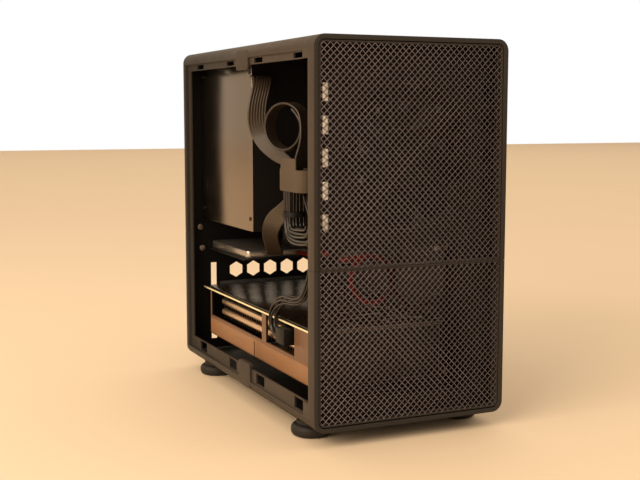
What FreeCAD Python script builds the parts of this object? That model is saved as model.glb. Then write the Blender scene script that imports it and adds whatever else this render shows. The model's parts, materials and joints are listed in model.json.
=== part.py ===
import FreeCAD, Part
import math
import os
from types import SimpleNamespace

# A compact black tower case for a micro-ATX board, open on its left side, with the hardware fitted in it.
# Frame: X to the right, Y to the back, Z up, origin on the floor under the middle of the body.

Vector = FreeCAD.Vector
doc = FreeCAD.newDocument("micro_atx_case")

# Driving dimensions, in millimetres and degrees
DRIVING = {
    # Body
    "body_width": 166, "body_depth": 312, "body_height": 296, "foot_height": 12.5,
    "corner_radius": 9, "shell_wall": 3.6, "split_height": 123, "seam_gap": 0.3,
    "steel": 1.2, "fit_gap": 0.2, "rear_setback": 2, "ring_depth": 9.5,
    # Open side frame: flush bands, clip channels, window, tabs and clip slots
    "top_band": 11, "top_channel": 6, "base_band": 10, "base_channel": 11,
    "channel_depth": 2, "channel_front": 21, "channel_rear": 6,
    "window_front": 11.5, "window_rear": 16.5,
    "tab_length": 28, "tab_drop": 4, "tab_radius": 3,
    "slot_length": 18.5, "slot_margin": 1, "slot_inner": 33.5, "slot_outer": 116, "slot_shift": 4.5,
    # Side panel and its clips
    "panel_thickness": 1.6, "panel_gap": 0.3, "clip_reach": 5, "clip_gap": 0.4,
    # Front meshes
    "mesh_gap": 0.7, "mesh_rim": 1.5, "mesh_sheet": 1, "mesh_setback": 0.4,
    "mesh_pitch": 22.5, "mesh_strand": 3.6,
    # Front plate and fan
    "fan_size": 120, "fan_depth": 25, "fan_rise": 206, "fan_corner": 6, "fan_bore": 114,
    "fan_hole_spacing": 105, "fan_hole": 4.3, "fan_hub": 42, "fan_tip_gap": 1, "plate_bore": 112,
    "air_slot_width": 6, "air_slot_height": 13.5, "air_slot_pitch": 24.3, "air_slot_inset": 9.4,
    "low_vent_side": 23, "low_vent_rise": 20, "low_vent_height": 116,
    # Feet
    "foot_radius": 16.5, "foot_neck": 12, "foot_inset_x": 17, "foot_inset_y": 43, "foot_round": 4,
    "foot_pad": 9.5,
    # Base vents
    "vent_length": 62, "vent_width": 4, "vent_pitch": 9, "vent_place": 62,
    # Top ports and button
    "port_inset": 28, "button_radius": 6, "button_gap": 0.3, "button_place": 32, "button_stroke": 1.2,
    "button_flange": 1.5, "module_width": 20, "module_depth": 14, "module_front": 20, "module_length": 92,
    # Power supply
    "psu_width": 86, "psu_depth": 140, "psu_height": 150, "psu_side_gap": 16.5, "psu_top_gap": 6.9,
    "psu_sheet": 1, "psu_border": 6, "psu_bore": 124, "psu_fan_depth": 18,
    # Drive
    "drive_width": 70, "drive_length": 100, "drive_thickness": 7, "drive_side_gap": 25.5, "drive_rise": 106.5,
    "drive_setback": 1.5,
    # Main board
    "board_size": 244, "board_thickness": 1.6, "board_rise": 6, "board_setback": 0.5, "standoff_height": 6.35,
    "tray_offset": 8.45,
    "aperture_width": 44.45, "aperture_height": 158.75, "aperture_rise": 94,
    "cooler_size": 92, "cooler_side_gap": 5.4, "cooler_fan_depth": 12, "socket_height": 4.5,
    "cooler_clear": 3.3, "cooler_rise": 190, "heat_setback": 45, "heat_depth": 22,
    # Expansion slots and graphics card
    "slot_pitch": 20.32, "card_rise": 67.6, "bracket_drop": 5.3, "slot_opening": 16.4, "slot_cover": 18.4,
    "cover_thickness": 0.8, "slot_left_gap": 37, "slot_board_gap": 8.4,
    "hexagon_width": 13.6, "hexagon_pitch": 18.5,
    "card_length": 262, "card_left_gap": 17, "card_connector_gap": 11.3, "card_bottom": 22.8,
    "shroud_wall": 2, "shroud_front_over": 2, "shroud_length": 246, "bar_height": 16.2,
    "card_fan_radius": 43, "card_fan_place": 62, "card_fan_depth": 13, "card_hub": 17,
    # Cables
    "ribbon_width": 17, "ribbon_thickness": 2.4, "wire_bundle": 6, "data_width": 4, "strap_thickness": 1.5,
}

overrun = 1.0

sheet = doc.addObject("Spreadsheet::Sheet", "Sizes")
for row, (alias, number) in enumerate(DRIVING.items(), start=1):
    sheet.set(f"A{row}", alias)
    sheet.set(f"B{row}", str(number))
    sheet.setAlias(f"B{row}", alias)
doc.recompute()


class Size:
    """A sheet value, or arithmetic on sheet values: its expression's text and its number."""

    def __init__(self, text, number):
        self.text = text
        self.number = number

    def __add__(self, other):
        return combine(self, "+", other)

    def __radd__(self, other):
        return combine(other, "+", self)

    def __sub__(self, other):
        return combine(self, "-", other)

    def __rsub__(self, other):
        return combine(other, "-", self)

    def __mul__(self, other):
        return combine(self, "*", other)

    def __rmul__(self, other):
        return combine(other, "*", self)

    def __truediv__(self, other):
        return combine(self, "/", other)

    def __neg__(self):
        return combine(0, "-", self)


def as_size(amount):
    if isinstance(amount, Size):
        return amount
    return Size(f"{amount:.6f}", float(amount))


def combine(first, sign, second):
    one = as_size(first)
    two = as_size(second)
    numbers = {
        "+": one.number + two.number,
        "-": one.number - two.number,
        "*": one.number * two.number,
        "/": one.number / two.number if two.number else 0.0,
    }
    return Size(f"({one.text} {sign} {two.text})", numbers[sign])


size = SimpleNamespace(**{alias: Size(f"Sizes.{alias}", sheet.get(alias)) for alias in DRIVING})
number = SimpleNamespace(**{alias: sheet.get(alias) for alias in DRIVING})

# Planes of the body
left = -(size.body_width / 2)
right = size.body_width / 2
front = -(size.body_depth / 2)
back = size.body_depth / 2
bottom = size.foot_height
top = size.foot_height + size.body_height
inner_left = left + size.shell_wall
inner_right = right - size.shell_wall
inner_bottom = bottom + size.shell_wall
inner_top = top - size.shell_wall
plate_front = front + size.ring_depth
plate_back = plate_front + size.steel
rear_outer = back - size.rear_setback
rear_inner = rear_outer - size.steel
split = bottom + size.split_height
window_bottom = bottom + size.base_band + size.base_channel
window_top = top - size.top_band - size.top_channel
window_middle = (front + size.window_front + back - size.window_rear) / 2 - size.slot_shift
tray_left = right - size.tray_offset - size.steel
board_right = tray_left - size.standoff_height
board_left = board_right - size.board_thickness
fan_middle = bottom + size.fan_rise
fan_back = plate_back + size.fan_depth
port_x = right - size.port_inset
slot_left = left + size.slot_left_gap
slot_right = board_left - size.slot_board_gap
board_rear = rear_inner - size.board_setback
heat_front = board_rear - size.heat_setback
card_rear = rear_inner - size.cover_thickness - size.panel_gap
card_front = card_rear - size.card_length

parts = {}
TURNS = {
    "X": FreeCAD.Rotation(Vector(0, 1, 0), 90),
    "Y": FreeCAD.Rotation(Vector(1, 0, 0), -90),
    "Z": FreeCAD.Rotation(),
}
DIRECTIONS = {"X": Vector(1, 0, 0), "Y": Vector(0, 1, 0), "Z": Vector(0, 0, 1)}


def place(made, corner, turn=None):
    """Puts an object's base at a corner, turned first where a turn is given."""
    if turn:
        made.Placement = FreeCAD.Placement(Vector(), turn)
    for axis, amount in zip("xyz", corner):
        made.setExpression(f"Placement.Base.{axis}", as_size(amount).text)
    return made


def block(corner, extent):
    """A box from its lowest corner."""
    made = doc.addObject("Part::Box", "Block")
    for name, amount in zip(("Length", "Width", "Height"), extent):
        made.setExpression(name, as_size(amount).text)
    return place(made, corner)


def rod(start, axis, radius, length):
    """A cylinder that runs from its start along an axis."""
    made = doc.addObject("Part::Cylinder", "Rod")
    made.setExpression("Radius", as_size(radius).text)
    made.setExpression("Height", as_size(length).text)
    return place(made, start, TURNS[axis])


def fuse(*pieces):
    if len(pieces) == 1:
        return pieces[0]
    made = doc.addObject("Part::MultiFuse", "Fuse")
    made.Shapes = list(pieces)
    return made


def cut(base, *tools):
    made = doc.addObject("Part::Cut", "Cut")
    made.Base = base
    made.Tool = fuse(*tools)
    return made


def group(*pieces):
    """Several separate solids in one node."""
    made = doc.addObject("Part::Compound", "Group")
    made.Links = list(pieces)
    return made


def along(axis):
    """A test for straight edges that run along an axis."""
    def test(edge):
        ends = [v.Point for v in edge.Vertexes]
        if len(ends) != 2:
            return False
        run = ends[1] - ends[0]
        return abs(abs(run.normalize() * DIRECTIONS[axis]) - 1) < 1e-6
    return test


def soften(base, radius, test):
    """Rounds the edges of an object that pass a test."""
    doc.recompute()
    made = doc.addObject("Part::Fillet", "Round")
    made.Base = base
    reach = as_size(radius).number
    made.Edges = [(i, reach, reach) for i, edge in enumerate(base.Shape.Edges, start=1) if test(edge)]
    return made


def rounded(corner, extent, axis, radius):
    """A box with its four edges along one axis rounded."""
    return soften(block(corner, extent), radius, along(axis))


def plate(low, high, axis, start, thickness, radius=None):
    """A flat plate across an axis: low and high are its corners in the other two axes, in X, Y, Z order."""
    corner = list(low)
    extent = [b - a for a, b in zip(low, high)]
    corner.insert("XYZ".index(axis), start)
    extent.insert("XYZ".index(axis), thickness)
    if radius is None:
        return block(corner, extent)
    return rounded(corner, extent, axis, radius)


def keep(label, made):
    made.Label = label
    parts[label] = made
    return made


def feature(label, shape, base=Vector(), turn=FreeCAD.Rotation()):
    """A sub-part whose shape is worked out here from the sheet's numbers."""
    made = doc.addObject("Part::Feature", label)
    made.Shape = shape
    made.Placement = FreeCAD.Placement(base, turn)
    return keep(label, made)


def point(*amounts):
    """A plain vector of sizes."""
    return Vector(*[as_size(amount).number for amount in amounts])


# Shells
def wall_block(side, depth, low_y, low_z, length, height):
    """A box that reaches from one side face into the body by depth."""
    start = left if side < 0 else right - depth
    return block((start, low_y, low_z), (depth, length, height))


def slot_centres():
    return [window_middle + sign * reach for reach in (size.slot_inner, size.slot_outer) for sign in (-1, 1)]


def side_cuts(side):
    """The panel recess, clip channels, window and clip slots of one side."""
    through = size.shell_wall + overrun
    run = size.body_depth - size.channel_front - size.channel_rear
    tall = window_top - window_bottom
    pieces = [
        wall_block(side, size.channel_depth, front + size.window_front, window_bottom,
                   size.body_depth - size.window_front - size.channel_rear, tall),
        wall_block(side, size.channel_depth, front + size.channel_front, window_top, run, size.top_channel),
        wall_block(side, size.channel_depth, front + size.channel_front, bottom + size.base_band,
                   run, size.base_channel),
        wall_block(side, through, front + size.window_front, window_bottom,
                   size.body_depth - size.window_front - size.window_rear, tall),
    ]
    for centre in slot_centres():
        for low, height in ((window_top, size.top_channel), (bottom + size.base_band, size.base_channel)):
            pieces.append(wall_block(side, through, centre - size.slot_length / 2, low + size.slot_margin,
                                     size.slot_length, height - 2 * size.slot_margin))
    return pieces


def side_tabs(side):
    """The flush finger tabs in the middle of the two channels."""
    start = left if side < 0 else inner_right
    low_y = window_middle - size.tab_length / 2
    lap = 2 * size.tab_radius
    upper = rounded((start, low_y, window_top - size.tab_drop),
                    (size.shell_wall, size.tab_length, size.tab_drop + size.top_channel + lap), "X",
                    size.tab_radius)
    lower = rounded((start, low_y, bottom + size.base_band - lap),
                    (size.shell_wall, size.tab_length, size.tab_drop + size.base_channel + lap), "X",
                    size.tab_radius)
    return [upper, lower]


def base_vents():
    """Two fields of slots under the card's fans."""
    pieces = []
    for side in (-1, 1):
        for i in range(-3, 4):
            centre = side * size.vent_place + i * size.vent_pitch
            pieces.append(block((-(size.vent_length / 2), centre - size.vent_width / 2, bottom - overrun),
                                (size.vent_length, size.vent_width, size.shell_wall + 2 * overrun)))
    return pieces


PORTS = ((48, 13.6, 6.2), (66, 13.6, 6.2), (84, 9.4, 3.6))
audio_place = 98
audio_radius = 3.2


def port_holes(depth, gap):
    """The holes of the button and the ports, from the top face down by depth, each wider by gap."""
    low = top - depth
    pieces = [rod((port_x, front + size.button_place, low), "Z", size.button_radius + size.button_gap,
                  depth + overrun)]
    for place_y, length, width in PORTS:
        pieces.append(block((port_x - width / 2 - gap, front + place_y - length / 2 - gap, low),
                            (width + 2 * gap, length + 2 * gap, depth + overrun)))
    pieces.append(rod((port_x, front + audio_place, low), "Z", audio_radius + gap, depth + overrun))
    return pieces


def shells():
    outer = rounded((left, front, bottom), (size.body_width, size.body_depth, size.body_height), "Y",
                    size.corner_radius)
    bore = rounded((inner_left, front - overrun, inner_bottom),
                   (inner_right - inner_left, size.body_depth + 2 * overrun, inner_top - inner_bottom), "Y",
                   size.corner_radius - size.shell_wall)
    tube = cut(outer, bore)
    frame = fuse(cut(tube, *side_cuts(-1), *side_cuts(1)), *side_tabs(-1), *side_tabs(1))
    reach = (size.body_width + 2 * overrun, size.body_depth + 2 * overrun, size.body_height)
    below = block((left - overrun, front - overrun, split + size.seam_gap / 2 - size.body_height), reach)
    above = block((left - overrun, front - overrun, split - size.seam_gap / 2), reach)
    keep("upper_shell", cut(frame, below, *port_holes(size.shell_wall + overrun, 0)))
    keep("lower_shell", cut(frame, above, *base_vents()))


# Front meshes
def lattice_cuts(opening, start, depth):
    """Diamond holes in two interleaved grids, clipped to an opening's outline, without slivers."""
    pitch = number.mesh_pitch
    side = pitch / math.sqrt(2) - number.mesh_strand
    middle = opening.BoundBox.Center
    columns = int(opening.BoundBox.XLength / pitch) + 1
    rows = int(opening.BoundBox.ZLength / pitch) + 1
    holes = []
    for i in range(-columns, columns + 1):
        for j in range(-rows, rows + 1):
            if (i + j) % 2:
                continue
            hole = Part.makeBox(side, depth, side, Vector(-side / 2, 0, -side / 2))
            hole.rotate(Vector(), Vector(0, 1, 0), 45)
            hole.translate(Vector(middle.x + i * pitch / 2, start, middle.z + j * pitch / 2))
            clipped = hole.common(opening)
            if clipped.Volume > least_hole * hole.Volume * number.mesh_sheet / depth:
                holes.append(clipped)
    return Part.makeCompound(holes)


least_hole = 0.2


def mesh_panel(label, low, high, outer_end):
    """A rimmed panel in the front ring: its outer end has the ring's round corners."""
    wide = (inner_right - inner_left).number - 2 * number.mesh_gap
    deep = number.ring_depth - number.mesh_setback - number.panel_gap
    start = point(-wide / 2, front + size.mesh_setback, low)
    tall = high.number - low.number
    body = Part.makeBox(wide, deep, tall, start)
    end = start.z if outer_end < 0 else start.z + tall
    corners = [edge for edge in body.Edges if along("Y")(edge) and abs(edge.Vertexes[0].Z - end) < overrun]
    body = body.makeFillet(number.corner_radius - number.shell_wall - number.mesh_gap, corners)
    rim = number.mesh_rim
    hollow = Part.makeBox(wide - 2 * rim, deep, tall - 2 * rim,
                          start + Vector(rim, number.mesh_sheet, rim))
    soft = [edge for edge in hollow.Edges if along("Y")(edge)]
    hollow = hollow.makeFillet(number.corner_radius - number.shell_wall - number.mesh_gap - rim, soft)
    opening = hollow.copy()
    opening.translate(Vector(0, -number.mesh_sheet, 0))
    opening = opening.common(Part.makeBox(wide, number.mesh_sheet, tall, start))
    holes = lattice_cuts(opening, start.y - overrun, number.mesh_sheet + 2 * overrun)
    feature(label, body.cut(hollow).cut(holes))


def front_meshes():
    edge = size.mesh_gap
    mesh_panel("upper_front_mesh", split + size.seam_gap / 2, inner_top - edge, 1)
    mesh_panel("lower_front_mesh", inner_bottom + edge, split - size.seam_gap / 2, -1)


# Front plate
def front_plate():
    """The steel plate behind the meshes, with the fan opening, a low vent and two columns of air slots."""
    sheet_plate = plate((inner_left + size.fit_gap, inner_bottom + size.fit_gap),
                        (inner_right - size.fit_gap, inner_top - size.fit_gap), "Y", plate_front, size.steel,
                        size.corner_radius)
    start = plate_front - overrun
    depth = size.steel + 2 * overrun
    tools = [rod((0, start, fan_middle), "Y", size.plate_bore / 2, depth)]
    tools += fan_holes(start, depth)
    vent = left + size.low_vent_side
    tools.append(rounded((vent, start, bottom + size.low_vent_rise),
                         (-2 * vent, depth, size.low_vent_height), "Y", size.corner_radius))
    for side in (-1, 1):
        for i in range(-7, 3):
            centre = fan_middle + i * size.air_slot_pitch
            tools.append(block((side * (inner_right - size.air_slot_inset) - size.air_slot_width / 2, start,
                                centre - size.air_slot_height / 2),
                               (size.air_slot_width, depth, size.air_slot_height)))
    keep("front_plate", cut(sheet_plate, *tools))


def fan_holes(start, depth):
    reach = size.fan_hole_spacing / 2
    return [rod((x * reach, start, fan_middle + z * reach), "Y", size.fan_hole / 2, depth)
            for x in (-1, 1) for z in (-1, 1)]


# Fans
def blade(root, tip, depth, chord, thickness, sweep):
    """A cambered fan blade on a radial line along X, lofted from a thin root section to a swept tip section."""
    def section(radius, turn):
        half = chord / 2
        rise = depth / 2
        bow = chord * 0.12
        low = Part.Arc(Vector(radius, -half, -rise), Vector(radius, bow, -bow), Vector(radius, half, rise))
        high = Part.Arc(Vector(radius, -half, -rise + thickness), Vector(radius, bow, -bow + thickness),
                        Vector(radius, half, rise + thickness))
        ends = [Part.LineSegment(low.EndPoint, high.EndPoint), Part.LineSegment(high.StartPoint, low.StartPoint)]
        edges = [low.toShape(), ends[0].toShape(), high.toShape(), ends[1].toShape()]
        wire = Part.Wire(Part.__sortEdges__(edges))
        wire.rotate(Vector(), Vector(0, 0, 1), turn)
        return wire
    return Part.makeLoft([section(root, 0), section(tip, sweep)], True, True)


def rotor(label, centre, axis, hub, tip, depth, count, sweep=14):
    """A fan rotor from its start along an axis: a round hub and swept blades inside a round envelope."""
    thickness = 1.4
    chord = 2 * math.pi * (hub + tip) / 2 / count * 0.72
    one = blade(hub - 1.5, tip * 1.02, depth - 3 * thickness, chord, thickness, sweep)
    one.translate(Vector(0, 0, depth / 2 - thickness / 2))
    one = one.common(Part.makeCylinder(tip, depth))
    blades = []
    for i in range(count):
        turned = one.copy()
        turned.rotate(Vector(), Vector(0, 0, 1), 360 * i / count)
        blades.append(turned)
    core = Part.makeCylinder(hub, depth)
    rims = [edge for edge in core.Edges if edge.Closed]
    core = core.makeFillet(1.2, rims)
    feature(label, core.multiFuse(blades).removeSplitter(), centre, TURNS[axis])


def front_fan():
    """A square frame with a round bore, its motor plate on four arms at the back, and the rotor."""
    half = size.fan_size / 2
    frame = rounded((-half, plate_back, fan_middle - half), (size.fan_size, size.fan_depth, size.fan_size), "Y",
                    size.fan_corner)
    bored = cut(frame, rod((0, plate_back - overrun, fan_middle), "Y", size.fan_bore / 2,
                           size.fan_depth + 2 * overrun),
                *fan_holes(plate_back - overrun, size.fan_depth + 2 * overrun))
    arm_depth = 3
    arm_width = 4
    start = plate_back + size.fan_depth - arm_depth
    motor = rod((0, start, fan_middle), "Y", size.fan_hub / 2 + 1, arm_depth)
    reach = size.fan_bore + 2
    arms = [block((-(reach / 2), start, fan_middle - arm_width / 2), (reach, arm_depth, arm_width)),
            block((-(arm_width / 2), start, fan_middle - reach / 2), (arm_width, arm_depth, reach))]
    keep("front_fan_frame", fuse(bored, motor, *arms))
    clear = 1.5
    depth = number.fan_depth - arm_depth - clear - 0.3
    rotor("front_fan_rotor", point(0, plate_back + clear, fan_middle), "Y", number.fan_hub / 2,
          number.fan_bore / 2 - number.fan_tip_gap, depth, 9)


# Rear panel and slot covers
def slot_middle(index):
    """The middle height of an expansion slot, counted from the top one."""
    return bottom + size.card_rise - size.bracket_drop + (1 - index) * size.slot_pitch


slot_count = 4
tab_slot_left = slot_left - 12
tab_slot_width = 6


def psu_place():
    """The lowest and highest corner of the power supply."""
    low = (left + size.psu_side_gap, rear_inner - size.psu_depth, inner_top - size.psu_top_gap - size.psu_height)
    high = (low[0] + size.psu_width, rear_inner, low[2] + size.psu_height)
    return low, high


def aperture():
    """The port opening's corners in X and Z."""
    high_x = board_left + 0.5
    low_z = bottom + size.aperture_rise
    return (high_x - size.aperture_width, low_z), (high_x, low_z + size.aperture_height)


def rear_panel():
    outline = plate((inner_left + size.fit_gap, inner_bottom + size.fit_gap),
                    (inner_right - size.fit_gap, inner_top - size.fit_gap), "Y", rear_inner, size.steel,
                    size.corner_radius)
    start = rear_inner - overrun
    depth = size.steel + 2 * overrun
    low, high = psu_place()
    edge = size.psu_border
    tools = [plate((low[0] + edge, low[2] + edge), (high[0] - edge, high[2] - edge), "Y", start, depth)]
    port_low, port_high = aperture()
    tools.append(plate(port_low, port_high, "Y", start, depth))
    for index in range(slot_count):
        middle = slot_middle(index)
        tools.append(plate((slot_left, middle - size.slot_opening / 2),
                           (slot_right, middle + size.slot_opening / 2), "Y", start, depth))
    first = slot_middle(slot_count - 1) - size.slot_opening / 2
    last = slot_middle(0) + size.slot_opening / 2
    tools.append(plate((tab_slot_left, first), (tab_slot_left + tab_slot_width, last), "Y", start, depth))
    keep("rear_panel", cut(outline, *tools))


def hexagon(middle_x, middle_z, width, start, depth):
    """A point-up hexagonal prism along Y."""
    radius = width / math.sqrt(3)
    corners = [Vector(middle_x + radius * math.sin(math.radians(60 * k)), start,
                      middle_z + radius * math.cos(math.radians(60 * k))) for k in range(7)]
    return Part.Face(Part.makePolygon(corners)).extrude(Vector(0, depth, 0))


def slot_covers():
    """Vented covers on the first and the last slot, inside the rear panel."""
    lap = 3
    covers = []
    for index in (0, slot_count - 1):
        middle = slot_middle(index).number
        wide = slot_right.number - slot_left.number + 2 * lap
        start = point(slot_left - lap, rear_inner - size.cover_thickness, 0)
        cover = Part.makeBox(wide, number.cover_thickness, number.slot_cover,
                             start + Vector(0, 0, middle - number.slot_cover / 2))
        centre = (slot_left.number + slot_right.number) / 2
        holes = [hexagon(centre + k * number.hexagon_pitch, middle, number.hexagon_width, start.y - overrun,
                         number.cover_thickness + 2 * overrun) for k in range(-2, 3)]
        covers.append(cover.cut(Part.makeCompound(holes)))
    feature("slot_covers", Part.makeCompound(covers))


def rear_screws():
    """Screw heads on the rear panel: four for the power supply, one beside each slot."""
    low, high = psu_place()
    radius = 3
    inset = size.psu_border / 2
    heads = [rod((x, rear_outer, z), "Y", radius, size.rear_setback - size.fit_gap)
             for x in (low[0] + inset, high[0] - inset) for z in (low[2] + inset, high[2] - inset)]
    beside = slot_left - 18.5
    heads += [rod((beside, rear_outer, slot_middle(i)), "Y", radius, size.rear_setback - size.fit_gap)
              for i in range(slot_count)]
    keep("rear_screws", group(*heads))


# Side panel, tray and feet
def right_panel():
    gap = size.panel_gap
    low_y = front + size.window_front + gap
    high_y = back - size.channel_rear - gap
    low_z = bottom + size.base_band + gap
    high_z = top - size.top_band - gap
    board = wall_block(1, size.panel_thickness, low_y, low_z, high_y - low_y, high_z - low_z)
    depth = size.panel_thickness + overrun
    step = size.channel_front - size.window_front
    notch_z = size.top_channel
    notches = [
        wall_block(1, depth, low_y, window_top - gap, step, notch_z),
        wall_block(1, depth, low_y, low_z, step, window_bottom + gap - low_z),
        wall_block(1, depth, window_middle - size.tab_length / 2 - gap, window_top - size.tab_drop - gap,
                   size.tab_length + 2 * gap, size.tab_drop + notch_z),
        wall_block(1, depth, window_middle - size.tab_length / 2 - gap, low_z, size.tab_length + 2 * gap,
                   window_bottom + size.tab_drop + gap - low_z),
    ]
    keep("right_panel", cut(board, *notches))
    clips = []
    for centre in slot_centres():
        for low, height in ((window_top, size.top_channel), (bottom + size.base_band, size.base_channel)):
            edge = size.slot_margin + size.clip_gap
            clips.append(block((right - size.panel_thickness - size.clip_reach,
                                centre - size.slot_length / 2 + size.clip_gap, low + edge),
                               (size.clip_reach, size.slot_length - 2 * size.clip_gap, height - 2 * edge)))
    keep("right_panel_clips", group(*clips))


def tray():
    """The plate that carries the main board."""
    low = inner_bottom + size.fit_gap
    high = inner_top - size.fit_gap
    keep("motherboard_tray", plate((plate_back, low), (rear_inner, high), "X", tray_left, size.steel))


def feet():
    """Four round feet: a flared pad with soft edges under a narrower neck."""
    names = {"front_left": (-1, -1), "front_right": (1, -1), "rear_left": (-1, 1), "rear_right": (1, 1)}
    for name, (side, end) in names.items():
        x = side * (right - size.foot_inset_x)
        y = end * (back - size.foot_inset_y)
        pad = soften(rod((x, y, 0), "Z", size.foot_radius, size.foot_pad), size.foot_round,
                     lambda edge: edge.Closed)
        neck = rod((x, y, size.foot_pad / 2), "Z", size.foot_neck, size.foot_height - size.foot_pad / 2)
        keep(f"foot_{name}", fuse(pad, neck))


# Top ports and power button
def top_ports():
    """A block under the top with the button and the port sockets, each socket in its own hole."""
    half = size.module_width / 2
    body = block((port_x - half, front + size.module_front, inner_top - size.module_depth),
                 (size.module_width, size.module_length, size.module_depth))
    well = rod((port_x, front + size.button_place, inner_top - size.module_depth + 4), "Z",
               size.button_radius + size.button_flange + size.button_gap, size.module_depth)
    holes = port_holes(size.shell_wall + size.module_depth - 2, 0)[1:]
    keep("port_module", cut(body, well, *holes))
    sockets = []
    wall = 0.4
    for place_y, length, width in PORTS:
        low = (port_x - width / 2, front + place_y - length / 2, inner_top - size.module_depth + 2)
        tall = size.shell_wall + size.module_depth - 2
        outer = block(low, (width, length, tall))
        hollow = block((low[0] + wall, low[1] + wall, low[2] + wall), (width - 2 * wall, length - 2 * wall, tall))
        tongue_width = width / 4
        tongue = block((port_x - tongue_width / 2, low[1] + 3 * wall, low[2]),
                       (tongue_width, length - 6 * wall, tall - 1))
        sockets.append(fuse(cut(outer, hollow), tongue))
    low = inner_top - size.module_depth + 2
    tall = size.shell_wall + size.module_depth - 2
    barrel = rod((port_x, front + audio_place, low), "Z", audio_radius, tall)
    sockets.append(cut(barrel, rod((port_x, front + audio_place, low + wall), "Z", 1.75, tall)))
    keep("port_sockets", group(*sockets))
    button = (port_x, front + size.button_place)
    skirt = 2
    flange_low = inner_top - size.fit_gap - skirt
    flange = rod((*button, flange_low), "Z", size.button_radius + size.button_flange, skirt)
    stem = rod((*button, flange_low), "Z", size.button_radius, top + size.button_stroke - flange_low)
    cap = soften(stem, 0.8, lambda edge: edge.Closed and edge.Vertexes[0].Z > top.number)
    spring_low = inner_top - size.module_depth + 4
    spring = rod((*button, spring_low + size.button_stroke + 0.2), "Z", 2,
                 flange_low - spring_low - size.button_stroke)
    keep("power_button", fuse(flange, cap, spring))


# Power supply
def power_supply():
    """The supply's walls, its cover with four screws, its fan, inlet and rocker."""
    low, high = psu_place()
    thin = size.psu_sheet
    middle = ((low[1] + high[1]) / 2, (low[2] + high[2]) / 2)
    start_x = low[0] + thin
    end_x = high[0] - thin
    bore = rod((end_x - overrun, *middle), "X", size.psu_bore / 2, thin + 2 * overrun)
    side = cut(plate(low[1:], high[1:], "X", end_x, thin), bore)
    walls = [fuse(side, *fan_grille(end_x, thin, middle)),
             plate((start_x, low[2]), (end_x, high[2]), "Y", low[1], thin)]
    walls += [plate((start_x, low[1] + thin), (end_x, high[1] - thin), "Z", z, thin)
              for z in (low[2], high[2] - thin)]
    keep("psu_housing", group(*walls, *supply_rear(start_x, end_x)))
    keep("psu_cover", plate(low[1:], high[1:], "X", low[0], thin))
    inset = 5
    heads = [rod((low[0] - 0.8, y, z), "X", 1.8, 0.8) for y in (low[1] + inset, high[1] - inset)
             for z in (low[2] + 2.2 * inset, high[2] - 2.2 * inset)]
    keep("psu_cover_screws", group(*heads))
    hub = 22
    rotor("psu_fan_rotor", point(high[0] - thin - size.psu_fan_depth - 0.3, *middle), "X", hub,
          number.psu_bore / 2 - 3, number.psu_fan_depth, 7)
    inlet_low, inlet_high, switch_middle = mains_places()
    mains_inlet(inlet_low, inlet_high)
    rocker(switch_middle)


def supply_rear(start_x, end_x):
    """The rear wall: a vented lower band, an upper band, and what stands beside the inlet and the rocker."""
    low, high = psu_place()
    thin = size.psu_sheet
    gap = size.panel_gap
    wall = high[1] - thin
    inlet_low, inlet_high, switch_middle = mains_places()
    band_low = inlet_low[1] - gap
    band_high = inlet_high[1] + gap
    half = rocker_length / 2 + gap
    vents = [block((low[0] + 12 + i * 7, wall - overrun, low[2] + 12), (4, thin + 2 * overrun, 78))
             for i in range(9)]
    lower = cut(plate((start_x, low[2]), (end_x, band_low), "Y", wall, thin), *vents)
    upper = plate((start_x, band_high), (end_x, high[2]), "Y", wall, thin)
    edges = [start_x, inlet_low[0] - gap, inlet_high[0] + gap, switch_middle[0] - half, switch_middle[0] + half,
             end_x]
    beside = [plate((a, band_low), (b, band_high), "Y", wall, thin) for a, b in zip(edges[::2], edges[1::2])]
    return [lower, upper, *beside]


rocker_radius = 9.5
rocker_length = 12


def mains_places():
    """Where the mains inlet and the rocker sit on the supply's rear face, in X and Z."""
    low, high = psu_place()
    inlet_low = (low[0] + 14, high[2] - 40)
    inlet_high = (low[0] + 41, high[2] - 20)
    switch_middle = (low[0] + 62, high[2] - 30)
    return inlet_low, inlet_high, switch_middle


def fan_grille(face, thick, middle):
    """Flat rings on four arms in the supply's fan opening."""
    rings = []
    for i in range(4):
        outer = size.psu_bore / 2 + 1 - i * 13
        rings.append(cut(rod((face, *middle), "X", outer, thick),
                         rod((face - overrun, *middle), "X", outer - 2, thick + 2 * overrun)))
    reach = size.psu_bore / 2 + 1
    arms = [block((face, middle[0] - 1, middle[1] - reach), (thick, 2, 2 * reach)),
            block((face, middle[0] - reach, middle[1] - 1), (thick, 2 * reach, 2))]
    return [*rings, *arms, rod((face, *middle), "X", 12, thick)]


def mains_inlet(low, high):
    """A three-pin inlet: a back, four walls round the mouth, and the pins."""
    depth = 22
    wall = 2.2
    start = rear_outer + 0.8 - depth
    mouth_low = (low[0] + wall, low[1] + wall)
    mouth_high = (high[0] - wall, high[1] - wall)
    inside = start + wall
    pieces = [plate(low, high, "Y", start, wall)]
    for z in (low[1], mouth_high[1]):
        pieces.append(plate((low[0], z), (high[0], z + wall), "Y", inside, depth - wall))
    for x in (low[0], mouth_high[0]):
        pieces.append(plate((x, mouth_low[1]), (x + wall, mouth_high[1]), "Y", inside, depth - wall))
    middle = ((low[0] + high[0]) / 2, (low[1] + high[1]) / 2)
    pieces += [block((middle[0] + dx - 1, inside, middle[1] + dz - 2), (2, depth - wall - 4, 4))
               for dx, dz in ((-7, -2), (0, 2), (7, -2))]
    keep("psu_inlet", group(*pieces))


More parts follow.
